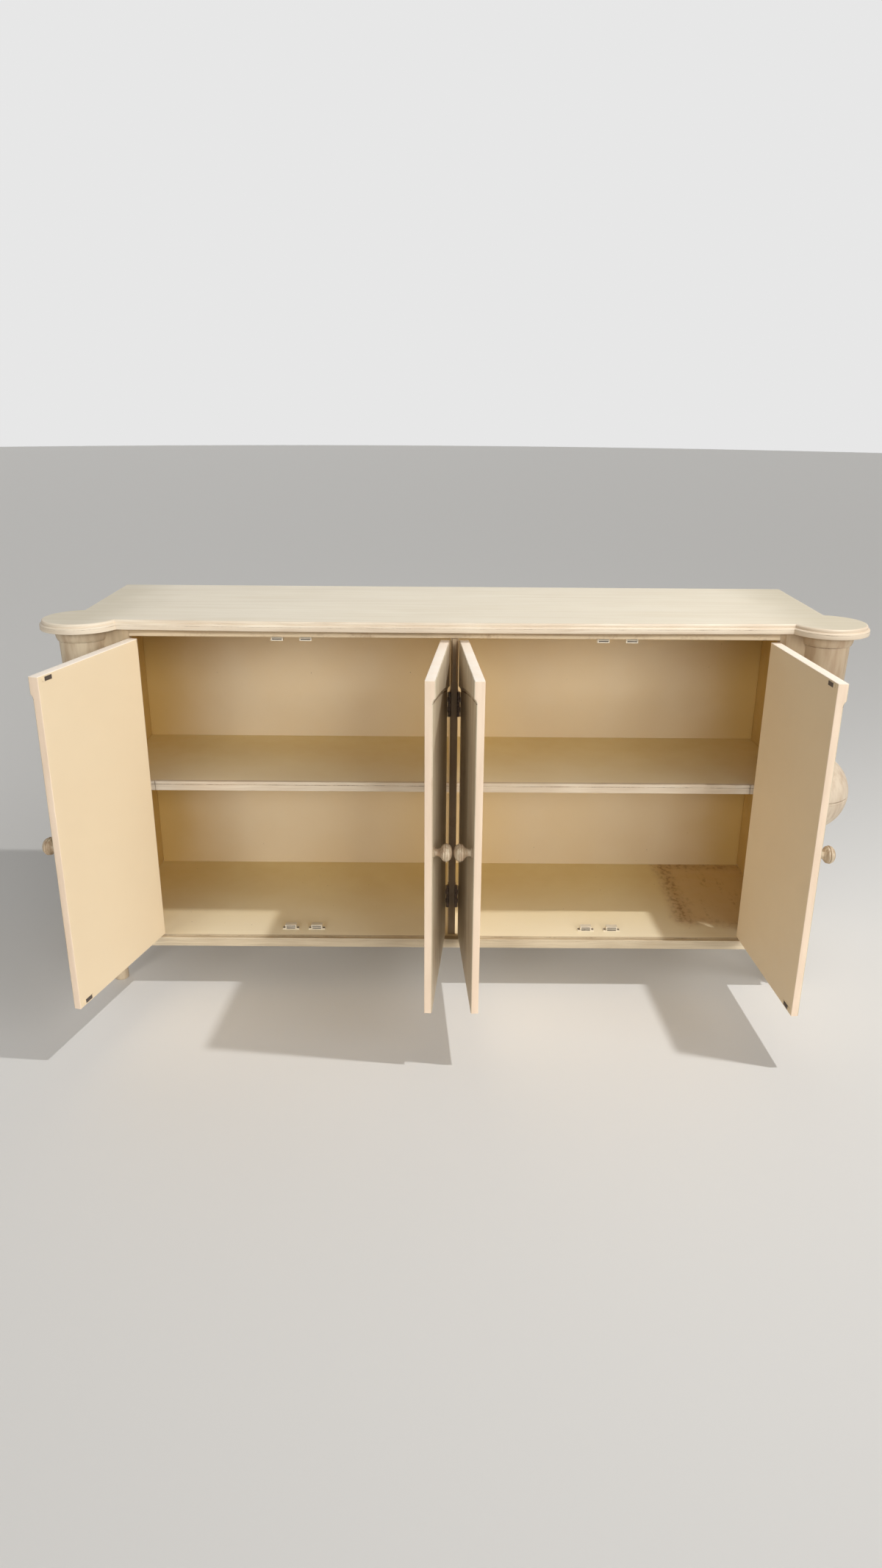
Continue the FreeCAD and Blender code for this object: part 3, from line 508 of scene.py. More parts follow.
def use_group(tree, group, **values):
    node = add(tree, "ShaderNodeGroup", node_tree=group)
    for label, value in values.items():
        node.inputs[label].default_value = value
    return node


def new_material(name):
    """Material with its Principled BSDF, ready for links."""
    material = bpy.data.materials.new(name)
    material.use_nodes = True
    return material, material.node_tree, material.node_tree.nodes["Principled BSDF"]


SPECK_SCALE = 70.0
SPECK_DARK = 0.5
SPECK_DEEP = 0.8
STROKE_HEIGHT = 0.6 * MM
STROKE_DULL = 0.12
GLAZE_DULL = 0.2
BROAD_SHARE = 0.7


def paint(finish, name, base, shade, stretch, streaks, patches, rub=0.3, glaze=0.6, specks=0.0,
          roughness=0.46, bump=0.2, steps=()):
    """Brushed paint: a base colour with strokes and clouds, glaze in grooves, rubbed edges and specks.

    Base and shade name colours of the panel. Each further step takes the node tree and the tone so far, and
    gives the changed tone.
    """
    material, tree, shader = new_material(name)
    base, shade, brown, bare = (panel_colour(label) for label in (base, shade, "glaze", "rubbed"))
    brush = use_group(tree, GROUPS["streaks"], Stretch=stretch).outputs
    wear = use_group(tree, GROUPS["wear"], Rub=rub, Glaze=glaze).outputs
    dots = use_group(tree, GROUPS["specks"], Scale=SPECK_SCALE, Share=specks).outputs["Specks"]
    tone = blend_colour(tree, times(tree, brush["Cloud"], patches), base, shade)
    tone = blend_colour(tree, times(tree, brush["Broad"], BROAD_SHARE * streaks), tone, shade)
    tone = blend_colour(tree, times(tree, brush["Fine"], streaks), tone, shade)
    for step in steps:
        tone = step(tree, tone)
    tone = blend_colour(tree, wear["Glazed"], tone, brown)
    tone = blend_colour(tree, wear["Rubbed"], tone, bare)
    tone = blend_colour(tree, times(tree, dots, SPECK_DARK), tone, brown)
    link(tree, tone, shader.inputs["Base Color"])
    dull = plus(tree, times(tree, brush["Fine"], STROKE_DULL), roughness)
    link(tree, plus(tree, dull, times(tree, wear["Glazed"], GLAZE_DULL)), shader.inputs["Roughness"])
    lift = add(tree, "ShaderNodeBump", strength=bump, distance=STROKE_HEIGHT)
    link(tree, minus(tree, brush["Fine"], times(tree, dots, SPECK_DEEP)), lift.inputs["Height"])
    link(tree, lift.outputs["Normal"], shader.inputs["Normal"])
    FINISHES[finish] = material


def object_axes(tree):
    """The Object coordinates as a vector, and as three separate values."""
    place = object_place(tree)
    split = add(tree, "ShaderNodeSeparateXYZ")
    link(tree, place, split.inputs[0])
    return place, split.outputs


def step_towards(label, weight, reach):
    """Step of a paint that blends the tone towards a colour by a weight, as far as reach gives it."""
    def step(tree, tone):
        share = times(tree, reach(tree, *object_axes(tree)), weight)
        return blend_colour(tree, share, tone, panel_colour(label))
    return step


def wavering(tree, place, value, scale, depth):
    """A value with slow noise of a given depth added."""
    return plus(tree, value, times(tree, noise(tree, place, scale, 2.0, 0.5), depth))


# Where the painted shade towards the inside ends starts and ends along |x|.
END_SHADE_FROM = 0.60
END_SHADE_TO = 0.86
LOBE_FROM = 0.72
LOBE_TO = 0.90
PARTITION_SHADE_FROM = 0.04
PARTITION_SHADE_TO = 0.26
# Where the painted light on the shelves starts and ends along y.
LIT_FRONT_FROM = FRONT + 0.38
LIT_FRONT_TO = FRONT + 0.02
RAIL_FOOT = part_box("top_rail")[0][2]


def from_middle(tree, axes):
    """Distance |x| from the cabinet's middle."""
    return math_node(tree, "ABSOLUTE", axes["X"])


def shade_towards_ends(tree, place, axes):
    """Smooth step of |x| towards both ends of the inside, made uneven: where painted shade and yellow bounce
    light darken the ends and corners.
    """
    return ramp(tree, wavering(tree, place, from_middle(tree, axes), 8.0, 0.05), END_SHADE_FROM, END_SHADE_TO)


def over_lobes(tree, place, axes):
    """Smooth step of |x| over the round ends of the top, made uneven."""
    return ramp(tree, wavering(tree, place, from_middle(tree, axes), 10.0, 0.08), LOBE_FROM, LOBE_TO)


def shade_beside_partition(tree, place, axes):
    """Smooth step of |x| down to the middle, where painted shade in yellow bounce light lies beside the
    partition.
    """
    return minus(tree, 1.0, ramp(tree, from_middle(tree, axes), PARTITION_SHADE_FROM, PARTITION_SHADE_TO))


def lit_towards_front(tree, place, axes):
    """Smooth step of y towards the front of a shelf, made uneven: there the paler tone is painted light from
    the lamp.
    """
    forward = minus(tree, LIT_FRONT_FROM, wavering(tree, place, axes["Y"], 9.0, 0.08))
    return ramp(tree, forward, -0.04, LIT_FRONT_FROM - LIT_FRONT_TO)


def rail_foot_light(tree, place, axes):
    """Smooth step of z at the rail's lower edge, made uneven by noise drawn out along x; the paler band there
    is painted light below the shadow of the top's overhang.
    """
    drawn = drawn_out(tree, place, (6.0, 60.0, 60.0))
    uneven = times(tree, noise(tree, drawn, 1.0, 3.0, 0.5), 8.0 * MM)
    above = minus(tree, plus(tree, axes["Z"], uneven), RAIL_FOOT)
    return minus(tree, 1.0, ramp(tree, above, 9.0 * MM, 13.0 * MM))


STAIN_LEFT = 0.592
STAIN_FRONT = FRONT + 0.045
STAIN_BACK = FRONT + 0.430
STAIN_RAGGED = 0.04
STAIN_WEIGHT = 0.62
RIM_WEIGHT = 0.75


def stained(tree, tone):
    """Adds a water stain to a tone: a soft tan patch at the right end with spotty dark bands along its rims.

    The patch is a product of smooth steps in x and y shifted by noise. The rims are bands of distance from
    its left, front and back sides. Small spots of noise and streaks drawn out along y darken them.
    """
    place, axes = object_axes(tree)
    shifted = times(tree, minus(tree, noise(tree, place, 9.0, 3.0, 0.5), 0.5), STAIN_RAGGED)
    from_left = minus(tree, plus(tree, axes["X"], shifted), STAIN_LEFT)
    from_front = minus(tree, plus(tree, axes["Y"], shifted), STAIN_FRONT)
    from_back = minus(tree, STAIN_BACK, axes["Y"])
    patch = times(tree, ramp(tree, from_left, -0.02, 0.03), ramp(tree, from_front, -0.02, 0.05))
    rims = []
    for distance, width, weight in ((from_left, 0.055, 1.0), (from_front, 0.06, 0.55),
                                    (from_back, 0.05, 0.75)):
        near = minus(tree, 1.0, ramp(tree, distance, 0.35 * width, width))
        rims.append(times(tree, near, weight))
    rim = greater(tree, greater(tree, rims[0], rims[1]), rims[2])
    marks = []
    for scale, low, high in (((84.0, 58.0, 1.0), 0.43, 0.70), ((70.0, 9.0, 1.0), 0.50, 0.74)):
        marks.append(ramp(tree, noise(tree, drawn_out(tree, place, scale), 1.0, 3.0, 0.55), low, high))
    spots, streaks = marks
    spotted = times(tree, rim, plus(tree, times(tree, spots, 0.75), 0.25))
    streaked = times(tree, times(tree, spots, streaks), 0.6)
    dark = times(tree, greater(tree, spotted, streaked), patch)
    tone = blend_colour(tree, times(tree, patch, STAIN_WEIGHT), tone, panel_colour("stain"))
    return blend_colour(tree, times(tree, dark, RIM_WEIGHT), tone, panel_colour("stain_rim"))


def metal(finish, name, roughness, metallic):
    """Dark metal, duller and browner in patches."""
    material, tree, shader = new_material(name)
    patch = noise(tree, object_place(tree), 220.0, 4.0, 0.6)
    base, tarnish = panel_colour(finish), panel_colour(finish + "_shade")
    link(tree, blend_colour(tree, ramp(tree, patch, 0.35, 0.75), base, tarnish), shader.inputs["Base Color"])
    shader.inputs["Metallic"].default_value = metallic
    link(tree, plus(tree, times(tree, patch, 0.25), roughness), shader.inputs["Roughness"])
    FINISHES[finish] = material


def plastic(finish, name, roughness):
    """Moulded plastic with a faint uneven sheen."""
    material, tree, shader = new_material(name)
    patch = noise(tree, object_place(tree), 90.0, 3.0, 0.5)
    base = panel_colour(finish)
    darker = tuple(0.86 * part for part in base)
    link(tree, blend_colour(tree, ramp(tree, patch, 0.3, 0.8), base, darker), shader.inputs["Base Color"])
    link(tree, plus(tree, times(tree, patch, 0.15), roughness), shader.inputs["Roughness"])
    FINISHES[finish] = material


# How strokes are drawn out: the scale of their noise along x, y and z.
ALONG = (0.35, 6.0, 6.0)
ROUND_EDGE = (1.4, 1.4, 45.0)
UPRIGHT = (7.0, 7.0, 0.8)
DABBED = (9.0, 9.0, 1.5)
LATHE = (25.0, 25.0, 2.5)
EVEN = (3.0, 3.0, 3.0)


def make_finishes():
    """All the materials, from the colours in the panel."""
    GROUPS.update(streaks=streak_group(), wear=wear_group(), specks=speck_group())
    greyed = step_towards("lobe", 0.9, over_lobes)
    # Painted light: the rail turns paler along its lower edge, below the top's shadow.
    lit_rail_foot = step_towards("inside", 0.65, rail_foot_light)
    # Painted shade beside the partition.
    partition_shaded = step_towards("warm", 0.5, shade_beside_partition)
    # Painted shade towards the ends of the inside, and more weakly towards the ends of the shelves.
    aged = step_towards("aged", 0.85, shade_towards_ends)
    shelf_end_shade = step_towards("aged", 0.4, shade_towards_ends)
    # Painted light: paler towards the lit front of the shelves.
    worn = step_towards("worn", 0.9, lit_towards_front)
    paint("top", "Top paint", "cream", "cream_shade", ALONG, 0.14, 0.12, roughness=0.42, bump=0.15,
          steps=[greyed])
    paint("edge", "Edge paint", "edge", "edge_shade", ROUND_EDGE, 0.26, 0.25, glaze=0.75, roughness=0.45)
    paint("outside", "Outside paint", "outside", "outside_shade", UPRIGHT, 0.34, 0.2, roughness=0.45)
    # Rail and stiles: darker tone that is partly painted shade.
    paint("rail", "Rail paint", "post", "post_shade", ALONG, 0.4, 0.3, steps=[lit_rail_foot])
    paint("post", "Stile paint", "post", "post_shade", UPRIGHT, 0.4, 0.3)
    paint("turned", "Turned paint", "turned", "turned_shade", DABBED, 0.5, 0.35, glaze=0.7, specks=0.02,
          roughness=0.44)
    paint("ball", "Ball paint", "edge", "turned_shade", DABBED, 0.38, 0.3, glaze=0.7, roughness=0.44)
    paint("plinth", "Base paint", "plinth", "plinth_shade", ROUND_EDGE, 0.3, 0.3, glaze=0.75)
    paint("knob", "Knob paint", "turned", "turned_shade", LATHE, 0.75, 0.2, glaze=0.7, roughness=0.42,
          bump=0.25)
    paint("inside", "Inside paint", "inside", "inside_shade", EVEN, 0.04, 0.3, rub=0.1, specks=0.02,
          roughness=0.48, bump=0.06, steps=[partition_shaded, aged])
    paint("shelf", "Shelf paint", "shelf", "shelf_shade", EVEN, 0.06, 0.35, rub=0.12, bump=0.06,
          steps=[worn, shelf_end_shade])
    paint("board", "Stained board paint", "shelf", "shelf_shade", EVEN, 0.06, 0.35, rub=0.15, specks=0.05,
          bump=0.08, steps=[worn, shelf_end_shade, stained])
    paint("door", "Door paint", "door", "inside", EVEN, 0.06, 0.3, rub=0.08, glaze=0.5, bump=0.06)
    paint("door_edge", "Door edge paint", "door_edge", "door_edge_shade", UPRIGHT, 0.3, 0.2, rub=0.1,
          glaze=0.5, bump=0.08)
    # Painted highlight on the doors' tops.
    paint("door_top", "Door top paint", "door_top", "door_edge", EVEN, 0.3, 0.2, rub=0.1, glaze=0.5,
          bump=0.08)
    metal("bronze", "Dark bronze", 0.36, 0.6)
    metal("strike", "Strike metal", 0.42, 0.3)
    metal("steel", "Dark steel", 0.35, 0.75)
    plastic("plastic", "Ivory plastic", 0.35)


# Pieces


# Names of material slots, listed with the door pieces but not given to them.
GLAZED = "cream_glazed"
METAL = "dark_bronze"

# Sides of a board, as an axis and a sign.
LEFTWARD = (0, -1)
RIGHTWARD = (0, 1)
FORWARD = (1, -1)
BACKWARD = (1, 1)
DOWNWARD = (2, -1)


def board_piece(node, finishes, radius=None, sides=()):
    """Rounded board in the place of a node that is a plain block.

    The faces on some sides of it, each given as an axis and a sign, have the second finish.
    """
    low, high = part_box(node)
    radius = radius or sizes().board_round
    surface = rounded_box(low, high, radius, sizes().rub_band)
    for axis, sign in sides:
        level = sign * (high if sign > 0 else low)[axis]
        depth = level - sign * surface.points[:, axis]
        near = [int(depth[face].max() < 1.2 * radius) for face in surface.faces]
        surface.finish = np.maximum(surface.finish, near).tolist()
    make_piece(node + "_skin", surface, finishes, CARCASS, node)


# Sizes of the top in plan; its thickness is in mm, as its section is.
LOBE_R = 91.0 * MM
TOP_BOW = 15.0 * MM
TOP_OVERHANG = 20.5 * MM
TOP_SIDE_OVERHANG = 20.0 * MM
TOP_THICK = 22.0
UPPER_ROWS = 4


def top_section():
    """Edge of the top from its underside to its upper face, as rows (inset, height, rub, glaze) in mm.

    A flat band, a soft crease, a quarter round over it, a shallow step, then a short lip that rounds into the
    upper face. A quarter round's inset goes as 1 - cos t and its height as sin t.
    """
    bend = quarter()
    inward, upward = 1.0 - np.cos(bend), np.sin(bend)
    rubbed = 0.4 * np.sin(2.0 * bend)
    foot_r = 1.2
    ovolo_depth, ovolo_rise, ovolo_foot = 4.2, 3.8, 10.1
    lip_r, lip_inset = 4.0, 5.0
    foot = np.column_stack([foot_r * (1.0 - upward), foot_r * inward])
    ovolo = np.column_stack([ovolo_depth * inward, ovolo_foot + ovolo_rise * upward])
    lip = np.column_stack([lip_inset + lip_r * inward, TOP_THICK - lip_r + lip_r * upward])
    underside = [(26.0, 0.0, 0.0, 0.2), (8.0, 0.0, 0.1, 0.2)]
    band = [(0.0, 5.5, 0.1, 0.0), (0.0, 8.4, 0.1, 0.1)]
    crease = [(0.1, 9.0, 0.0, 0.4), (0.25, 9.4, 0.0, 0.54), (0.25, 9.8, 0.0, 0.54), (0.1, 10.05, 0.0, 0.3)]
    step = [(4.5, 13.98, 0.0, 0.2), (5.0, 14.1, 0.0, 0.42), (5.1, 14.4, 0.0, 0.42), (5.05, 14.8, 0.1, 0.2),
            (5.0, 15.3, 0.1, 0.0)]
    upper = marked([(9.4, TOP_THICK), (10.0, TOP_THICK), (26.0, TOP_THICK)], 0.0, (0.55, 0.0, 0.0))
    return np.concatenate([underside, marked(foot, 0.3), band, crease, marked(ovolo, rubbed), step,
                           marked(lip, rubbed), upper])


def lobe_centre():
    """Axis of the right-hand column in plan, from the top's outer limit and the lobes' front limit."""
    low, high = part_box("top_slab")
    return high[0] - LOBE_R, low[1] + LOBE_R


SIDE_POINTS = 24
LOBE_POINTS = 72
BOW_POINTS = 200


def top_outline(inset):
    """Plan of the top drawn in by an inset: straight back and sides, lobes as arcs, a front bowed as one arc.

    The corners are where the inset lines and circles cross, so rows of different inset line up.
    """
    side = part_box("right_side_panel")[1][0] + TOP_SIDE_OVERHANG - inset
    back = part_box("top_slab")[1][1]
    cx, cy = lobe_centre()
    lobe = LOBE_R - inset
    front_y = FRONT - TOP_OVERHANG
    end_x = cx - math.sqrt(LOBE_R ** 2 - (cy - front_y) ** 2)
    bow_r = (end_x ** 2 + TOP_BOW ** 2) / (2.0 * TOP_BOW)
    bow_y = front_y - TOP_BOW + bow_r
    side_turn = math.atan2(math.sqrt(lobe ** 2 - (side - cx) ** 2), side - cx)
    reach = bow_r - inset
    apart = math.hypot(cx, bow_y - cy)
    along = (lobe ** 2 - reach ** 2 + apart ** 2) / (2.0 * apart)
    front_turn = math.atan2(bow_y - cy, -cx) + math.acos(along / lobe)
    corner_x = cx + lobe * math.cos(front_turn)
    corner_y = cy + lobe * math.sin(front_turn)
    half = math.atan2(corner_x, bow_y - corner_y)
    turn = np.linspace(front_turn - TAU, side_turn, LOBE_POINTS)
    right_lobe = np.column_stack([cx + lobe * np.cos(turn), cy + lobe * np.sin(turn)])
    side_y = np.linspace(right_lobe[-1, 1], back, SIDE_POINTS)[1:]
    right_side = np.column_stack([np.full(len(side_y), side), side_y])
    sweep = np.linspace(-half, half, BOW_POINTS)[1:-1]
    front = np.column_stack([reach * np.sin(sweep), bow_y - reach * np.cos(sweep)])
    right = np.concatenate([right_lobe, right_side])
    left = (right * np.array([-1.0, 1.0]))[::-1]
    return np.concatenate([front, right, left])


def make_top():
    """Top slab: each point of the edge section carried round the plan outline, closed above and below."""
    section = top_section()
    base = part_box("top_slab")[0][2]
    rings = []
    for inset, height in section[:, :2] * MM:
        plan = top_outline(inset)
        rings.append(np.column_stack([plan, np.full(len(plan), base + height)]))
    count = len(rings[0])
    surface = stacked(rings, *np.repeat(section[:, 2:], count, axis=0).T)
    moulded = (len(section) - UPPER_ROWS) * count
    surface.finish = [1] * moulded + [0] * (len(surface.faces) - moulded - 2) + [1, 0]
    make_piece("top_slab_moulded", surface, ["top", "edge"], CARCASS, "top_slab")


ARC_POINTS = 80
WALL_POINTS = 6


def column_section(profile, side, rebate):
    """Rings of a turned corner piece: each row (r, z) gives an arc round the outside of the carcass corner.

    Above the rebate height the ring is closed by straight walls along the corner's two faces, and below it
    by the rest of the circle.
    """
    cx, cy = lobe_centre()
    corner = np.array([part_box("right_stile")[1][0], FRONT])
    along = np.linspace(0.0, 1.0, WALL_POINTS)[1:, None]
    rings = []
    for radius, z in profile[:, :2]:
        start = math.degrees(math.asin(min(1.0, (cy - corner[1]) / radius))) - 180.0
        end = math.degrees(math.acos(min(1.0, (corner[0] - cx) / radius)))
        ring = arc((cx, cy), radius, start, end, ARC_POINTS)
        if z > rebate:
            inward = ring[-1] + (corner - ring[-1]) * along
            outward = corner + (ring[0] - corner) * along[:-1]
            rest = np.concatenate([inward, outward])
        else:
            rest = arc((cx, cy), radius, end, start + 360.0, 2 * WALL_POINTS - 1)[1:-1]
        ring = np.concatenate([ring, rest])
        rings.append(np.column_stack([ring, np.full(len(ring), z)]))
    marks = np.zeros((len(rings), len(rings[0]), 2))
    marks[:, :ARC_POINTS] = profile[:, None, 2:]
    surface = stacked(rings, *marks.reshape(-1, 2).T)
    return surface.moved(np.diag([side, 1.0, 1.0, 1.0]))


def shaft_rows():
    """Shaft from the ball up to the top, then the capital: a soft line and a swelling ring.

    The ring's radius at height h over the line is 60.2 - 3.8 (1 - h / 20)^2.6, in mm.
    """
    low, high = (corner[2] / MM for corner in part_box("right_column_shaft"))
    foot_r, neck_r, ring_r = 46.0, 53.2, 60.2
    ring_swell, ring_rise, ring_power = 3.8, 20.0, 2.6
    neck = high - 27.0
    share = np.linspace(0.0, 1.0, 28)[1:]
    over = np.linspace(0.0, ring_rise, 14)
    radius = ring_r - ring_swell * (1.0 - over / ring_rise) ** ring_power
    seat = marked([(foot_r, low), (foot_r + 0.05, low + 1.2)], 0.0, (0.9, 0.0))
    shaft = marked(np.column_stack([foot_r + (neck_r - foot_r) * share, low + (neck - 2.4 - low) * share]))
    above_shaft = marked([(neck_r - 0.1, neck - 1.2)], 0.0, 0.45)
    line = [(neck_r - 0.2, neck - 0.3), (neck_r + 0.2, neck + 0.3), (neck_r + 2.0, neck + 0.7)]
    ring = marked(np.column_stack([radius, neck + 1.1 + over]), 0.1, np.where(over > 0.0, 0.0, 0.4))
    rim = marked([(ring_r, high - 2.0), (ring_r - 0.4, high)], 0.05, 0.1)
    return np.concatenate([seat, shaft, above_shaft, marked(line, 0.0, 0.58), ring, rim])


# In mm; each groove as its latitude in degrees, depth, half width in degrees and glaze.
BALL_R = 96.6
BALL_MIDDLE = 531.0
BALL_GROOVES = ((0.0, 2.0, 0.75, 0.85), (-3.9, 1.1, 0.6, 0.35))


def ball_rows():
    """Ball: a circle about its own middle, cut flat at both ends, with two V grooves round it.

    The radius at latitude a is R less d (1 - |a - g| / w) for each groove at g of depth d and half width w.
    """
    ends = [math.degrees(math.asin((corner[2] / MM - BALL_MIDDLE) / BALL_R))
            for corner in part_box("right_column_ball")]
    turn = [np.linspace(*ends, 70)]
    turn += [place + half * np.linspace(-1.5, 1.5, 13) for place, depth, half, glaze in BALL_GROOVES]
    turn = np.unique(np.concatenate(turn))
    sunk = np.zeros_like(turn)
    mark = np.zeros_like(turn)
    for place, depth, half, glaze in BALL_GROOVES:
        share = np.clip(1.0 - np.abs(turn - place) / half, 0.0, 1.0)
        sunk += depth * share
        mark += glaze * np.sqrt(share)
    mark[[0, -1]] = 0.8
    angle = np.radians(turn)
    profile = np.column_stack([(BALL_R - sunk) * np.cos(angle), BALL_MIDDLE + BALL_R * np.sin(angle)])
    return marked(profile, 0.0, mark)


def leg_rows():
    """Leg from the floor up: rounded toe, slim foot, flare, ankle beside the base, taper and a rounded ring.

    The ring's radius is 40 + s + 2.2 sin(pi s) mm over its height, for s from 0 to 1.
    """
    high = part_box("right_column_leg")[1][2] / MM
    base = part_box("bottom_board")[0][2] / MM
    toe_r, foot_r, cuff_r, ankle_r, head_r, ring_r = 4.0, 18.0, 21.3, 31.0, 38.0, 40.0
    cuff_z, ankle_z, head_z = 35.0, base + 22.0, high - 14.0
    ring_foot, ring_rise, ring_swell = high - 13.2, 13.0, 2.2
    out = np.linspace(0.0, 1.0, 10)[1:]
    up = np.linspace(0.0, 1.0, 24)[1:]
    over = np.linspace(0.0, 1.0, 10)
    toe = marked(arc((foot_r - toe_r, toe_r), toe_r, -90.0, 0.0, 6), 0.5)
    foot = marked([(foot_r, 26.0)], 0.1, 0.2)
    cuff = marked([(18.6, 28.0), (19.8, 31.0), (20.9, 33.5), (cuff_r, cuff_z)], 0.35, 0.3)
    flare = np.column_stack([cuff_r + (ankle_r - cuff_r) * out, cuff_z + (base - 2.0 - cuff_z) * out])
    ankle = marked([(ankle_r, base - 0.05), (ankle_r, base + 0.05), (ankle_r, ankle_z)], 0.1, 0.1)
    taper = np.column_stack([ankle_r + (head_r - ankle_r) * up, ankle_z + (head_z - ankle_z) * up])
    groove = marked([(head_r + 0.2, high - 13.6)], 0.0, 0.9)
    ring = np.column_stack([ring_r + over + ring_swell * np.sin(np.pi * over), ring_foot + ring_rise * over])
    rim = marked([(ring_r + 1.0, high)], 0.1, 0.9)
    return np.concatenate([toe, foot, cuff, marked(flare, 0.1), ankle, marked(taper, 0.1), groove,
                           marked(ring, 0.4, 0.1), rim])


def make_columns():
    """Shaft, ball and leg of both corner columns."""
    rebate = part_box("bottom_board")[0][2]
    for part, rows, finish in (("shaft", shaft_rows(), "turned"), ("ball", ball_rows(), "ball"),
                               ("leg", leg_rows(), "turned")):
        for word, side in (("left", -1.0), ("right", 1.0)):
            node = word + "_column_" + part
            surface = column_section(rows * IN_METRES, side, rebate)
            make_piece(node + "_turned", surface, [finish], CARCASS, node)


def make_base():
    """Base moulding carried along x: a flat strip in the board's colour, a hollow, a nose, a groove, a band.

    The hollow is shallow, and sinks by its depth times sin(pi s) across its width.
    """
    low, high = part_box("base_moulding")
    front, under, top = low[1], low[2], high[2]
    flat = 8.0 * MM
    nose_r = 2.0 * MM
    sag = 1.6 * MM
    groove_z = top - 4.6 * MM
    sunk = front + 0.7 * MM
    bead_r = 0.5 * MM
    band_r = 1.5 * MM
    share = np.linspace(0.0, 1.0, 10)
    hollow_y = FRONT - flat + (front + nose_r - FRONT + flat) * share
    hollow = np.column_stack([hollow_y, top - sag * np.sin(np.pi * share)])
    nose = arc((front + nose_r, top - nose_r), nose_r, 90.0, 180.0, 7)[1:]
    groove = [(front, groove_z + 0.8 * MM), (sunk, groove_z + 0.3 * MM), (sunk, groove_z - 0.1 * MM)]
    bead = arc((front + bead_r, groove_z - 1.1 * MM), bead_r, 90.0, 180.0, 4)
    band = arc((front + band_r, under + band_r), band_r, 180.0, 270.0, 6)
    rows = np.concatenate([
        marked([(FRONT, under), (FRONT, top)]),
        marked(hollow, 0.0, 0.52 * np.exp(-((share - 0.3) / 0.18) ** 2)),
        marked(nose, 0.3),
        marked(groove, 0.0, (0.2, 0.46, 0.46)),
        marked(np.concatenate([bead, band]), 0.2),
    ])[::-1]
    surface = extruded(rows[:, :2], low[0], high[0], *rows[:, 2:].T)
    on_strip = np.abs(surface.points[:, 1] - FRONT + flat / 2.0) < 0.51 * flat
    on_strip &= np.abs(surface.points[:, 2] - top) < 0.01 * MM
    surface.finish = [int(on_strip[face].all()) for face in surface.faces]
    make_piece("base_moulding_run", surface, ["plinth", "shelf"], CARCASS, "base_moulding")


def make_carcass():
    """Boards of the carcass with softened edges; what faces outward has the outside's paint."""
    inside_out = ["inside", "outside"]
    board_piece("sub_top", ["inside"])
    # The partition's front face takes the frame's darker tone, painted shade for the dark gap between the
    # middle doors.
    board_piece("partition", ["inside", "post"], sides=[FORWARD])
    board_piece("back_panel", inside_out, sides=[BACKWARD, DOWNWARD])
    board_piece("left_side_panel", inside_out, sides=[LEFTWARD, BACKWARD, DOWNWARD])
    board_piece("right_side_panel", inside_out, sides=[RIGHTWARD, BACKWARD, DOWNWARD])
    board_piece("bottom_board", ["board", "outside"], radius=0.3 * MM,
                sides=[LEFTWARD, RIGHTWARD, FORWARD, BACKWARD, DOWNWARD])
    for node, finish in (("left_stile", "post"), ("right_stile", "post"), ("top_rail", "rail")):
        board_piece(node, [finish])
    for node in ("left_shelf", "right_shelf"):
        board_piece(node, ["shelf"])


def make_lippings():
    """Front strips of the shelves: rounded upper lip, fine groove, flat band; and the blocks at the ends."""
    low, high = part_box("left_shelf_lipping")
    front, back, under, top = low[1], high[1], low[2], high[2]
    lip_r = 2.2 * MM
    chamfer = 1.0 * MM
    sunk = front + 0.8 * MM
    groove = top - 9.0 * MM
    rows = np.concatenate([
        marked(arc((front + lip_r, top - lip_r), lip_r, 90.0, 180.0, 6), 0.3),
        marked([(front, groove + 1.6 * MM)], 0.3, 0.2),
        marked([(sunk, groove + 1.1 * MM), (sunk, groove + 0.4 * MM)], 0.0, 0.6),
        marked([(front, groove - 0.1 * MM)], 0.2, 0.2),
        marked([(front, under + chamfer), (front + chamfer, under)], (0.4, 0.3)),
        marked([(back, under), (back, top)]),
    ])

    def strip(start, end):
        return extruded(rows[:, :2], start, end, *rows[:, 2:].T)

    for word in ("left", "right"):
        node = word + "_shelf_lipping"
        start, end = (corner[0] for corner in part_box(node))
        make_piece(node + "_strip", strip(start, end), ["edge"], CARCASS, node)
    low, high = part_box("shelf_end_blocks")
    width = 18.0 * MM
    blocks = joined([strip(start, start + width) for start in (low[0], high[0] - width)])
    make_piece("shelf_end_blocks_strip", blocks, ["edge"], CARCASS, "shelf_end_blocks")


def door_place(name):
    """Matrix that takes a door's own frame to its place at rest.

    The door's frame has its pin at the origin, x towards the free edge, y to the back when closed. Doors that
    hang at their right are mirrored. A joint's lower limit is the closed door, so it gives the opening angle.
    """
    joint = JOINTS["door_" + name]
    closed = math.radians(joint["range_deg"][0]) * joint["axis"][2]
    mirror = Matrix.Diagonal((joint["axis"][2] * -1.0, 1.0, 1.0, 1.0))
    pin = Vector((joint["pos_m"][0], joint["pos_m"][1], 0.0))
    return np.array(Matrix.Translation(pin) @ Matrix.Rotation(-closed, 4, "Z") @ mirror)


class DoorSizes:
    """Sizes of a door in its own frame, from the frame's pins and boxes."""

    def __init__(self):
        outer = JOINTS["door_far_right"]["pos_m"]
        inner = JOINTS["door_mid_right"]["pos_m"]
        low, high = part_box("far_right_door")
        self.edge = 1.5 * MM
        self.gap = 2.5 * MM
        self.width = (outer[0] - inner[0] - self.gap) / 2.0 - self.edge
        self.face = FRONT - outer[1]
        self.back = self.face + sizes().door_thick
        self.bottom = low[2]
        self.top = high[2]


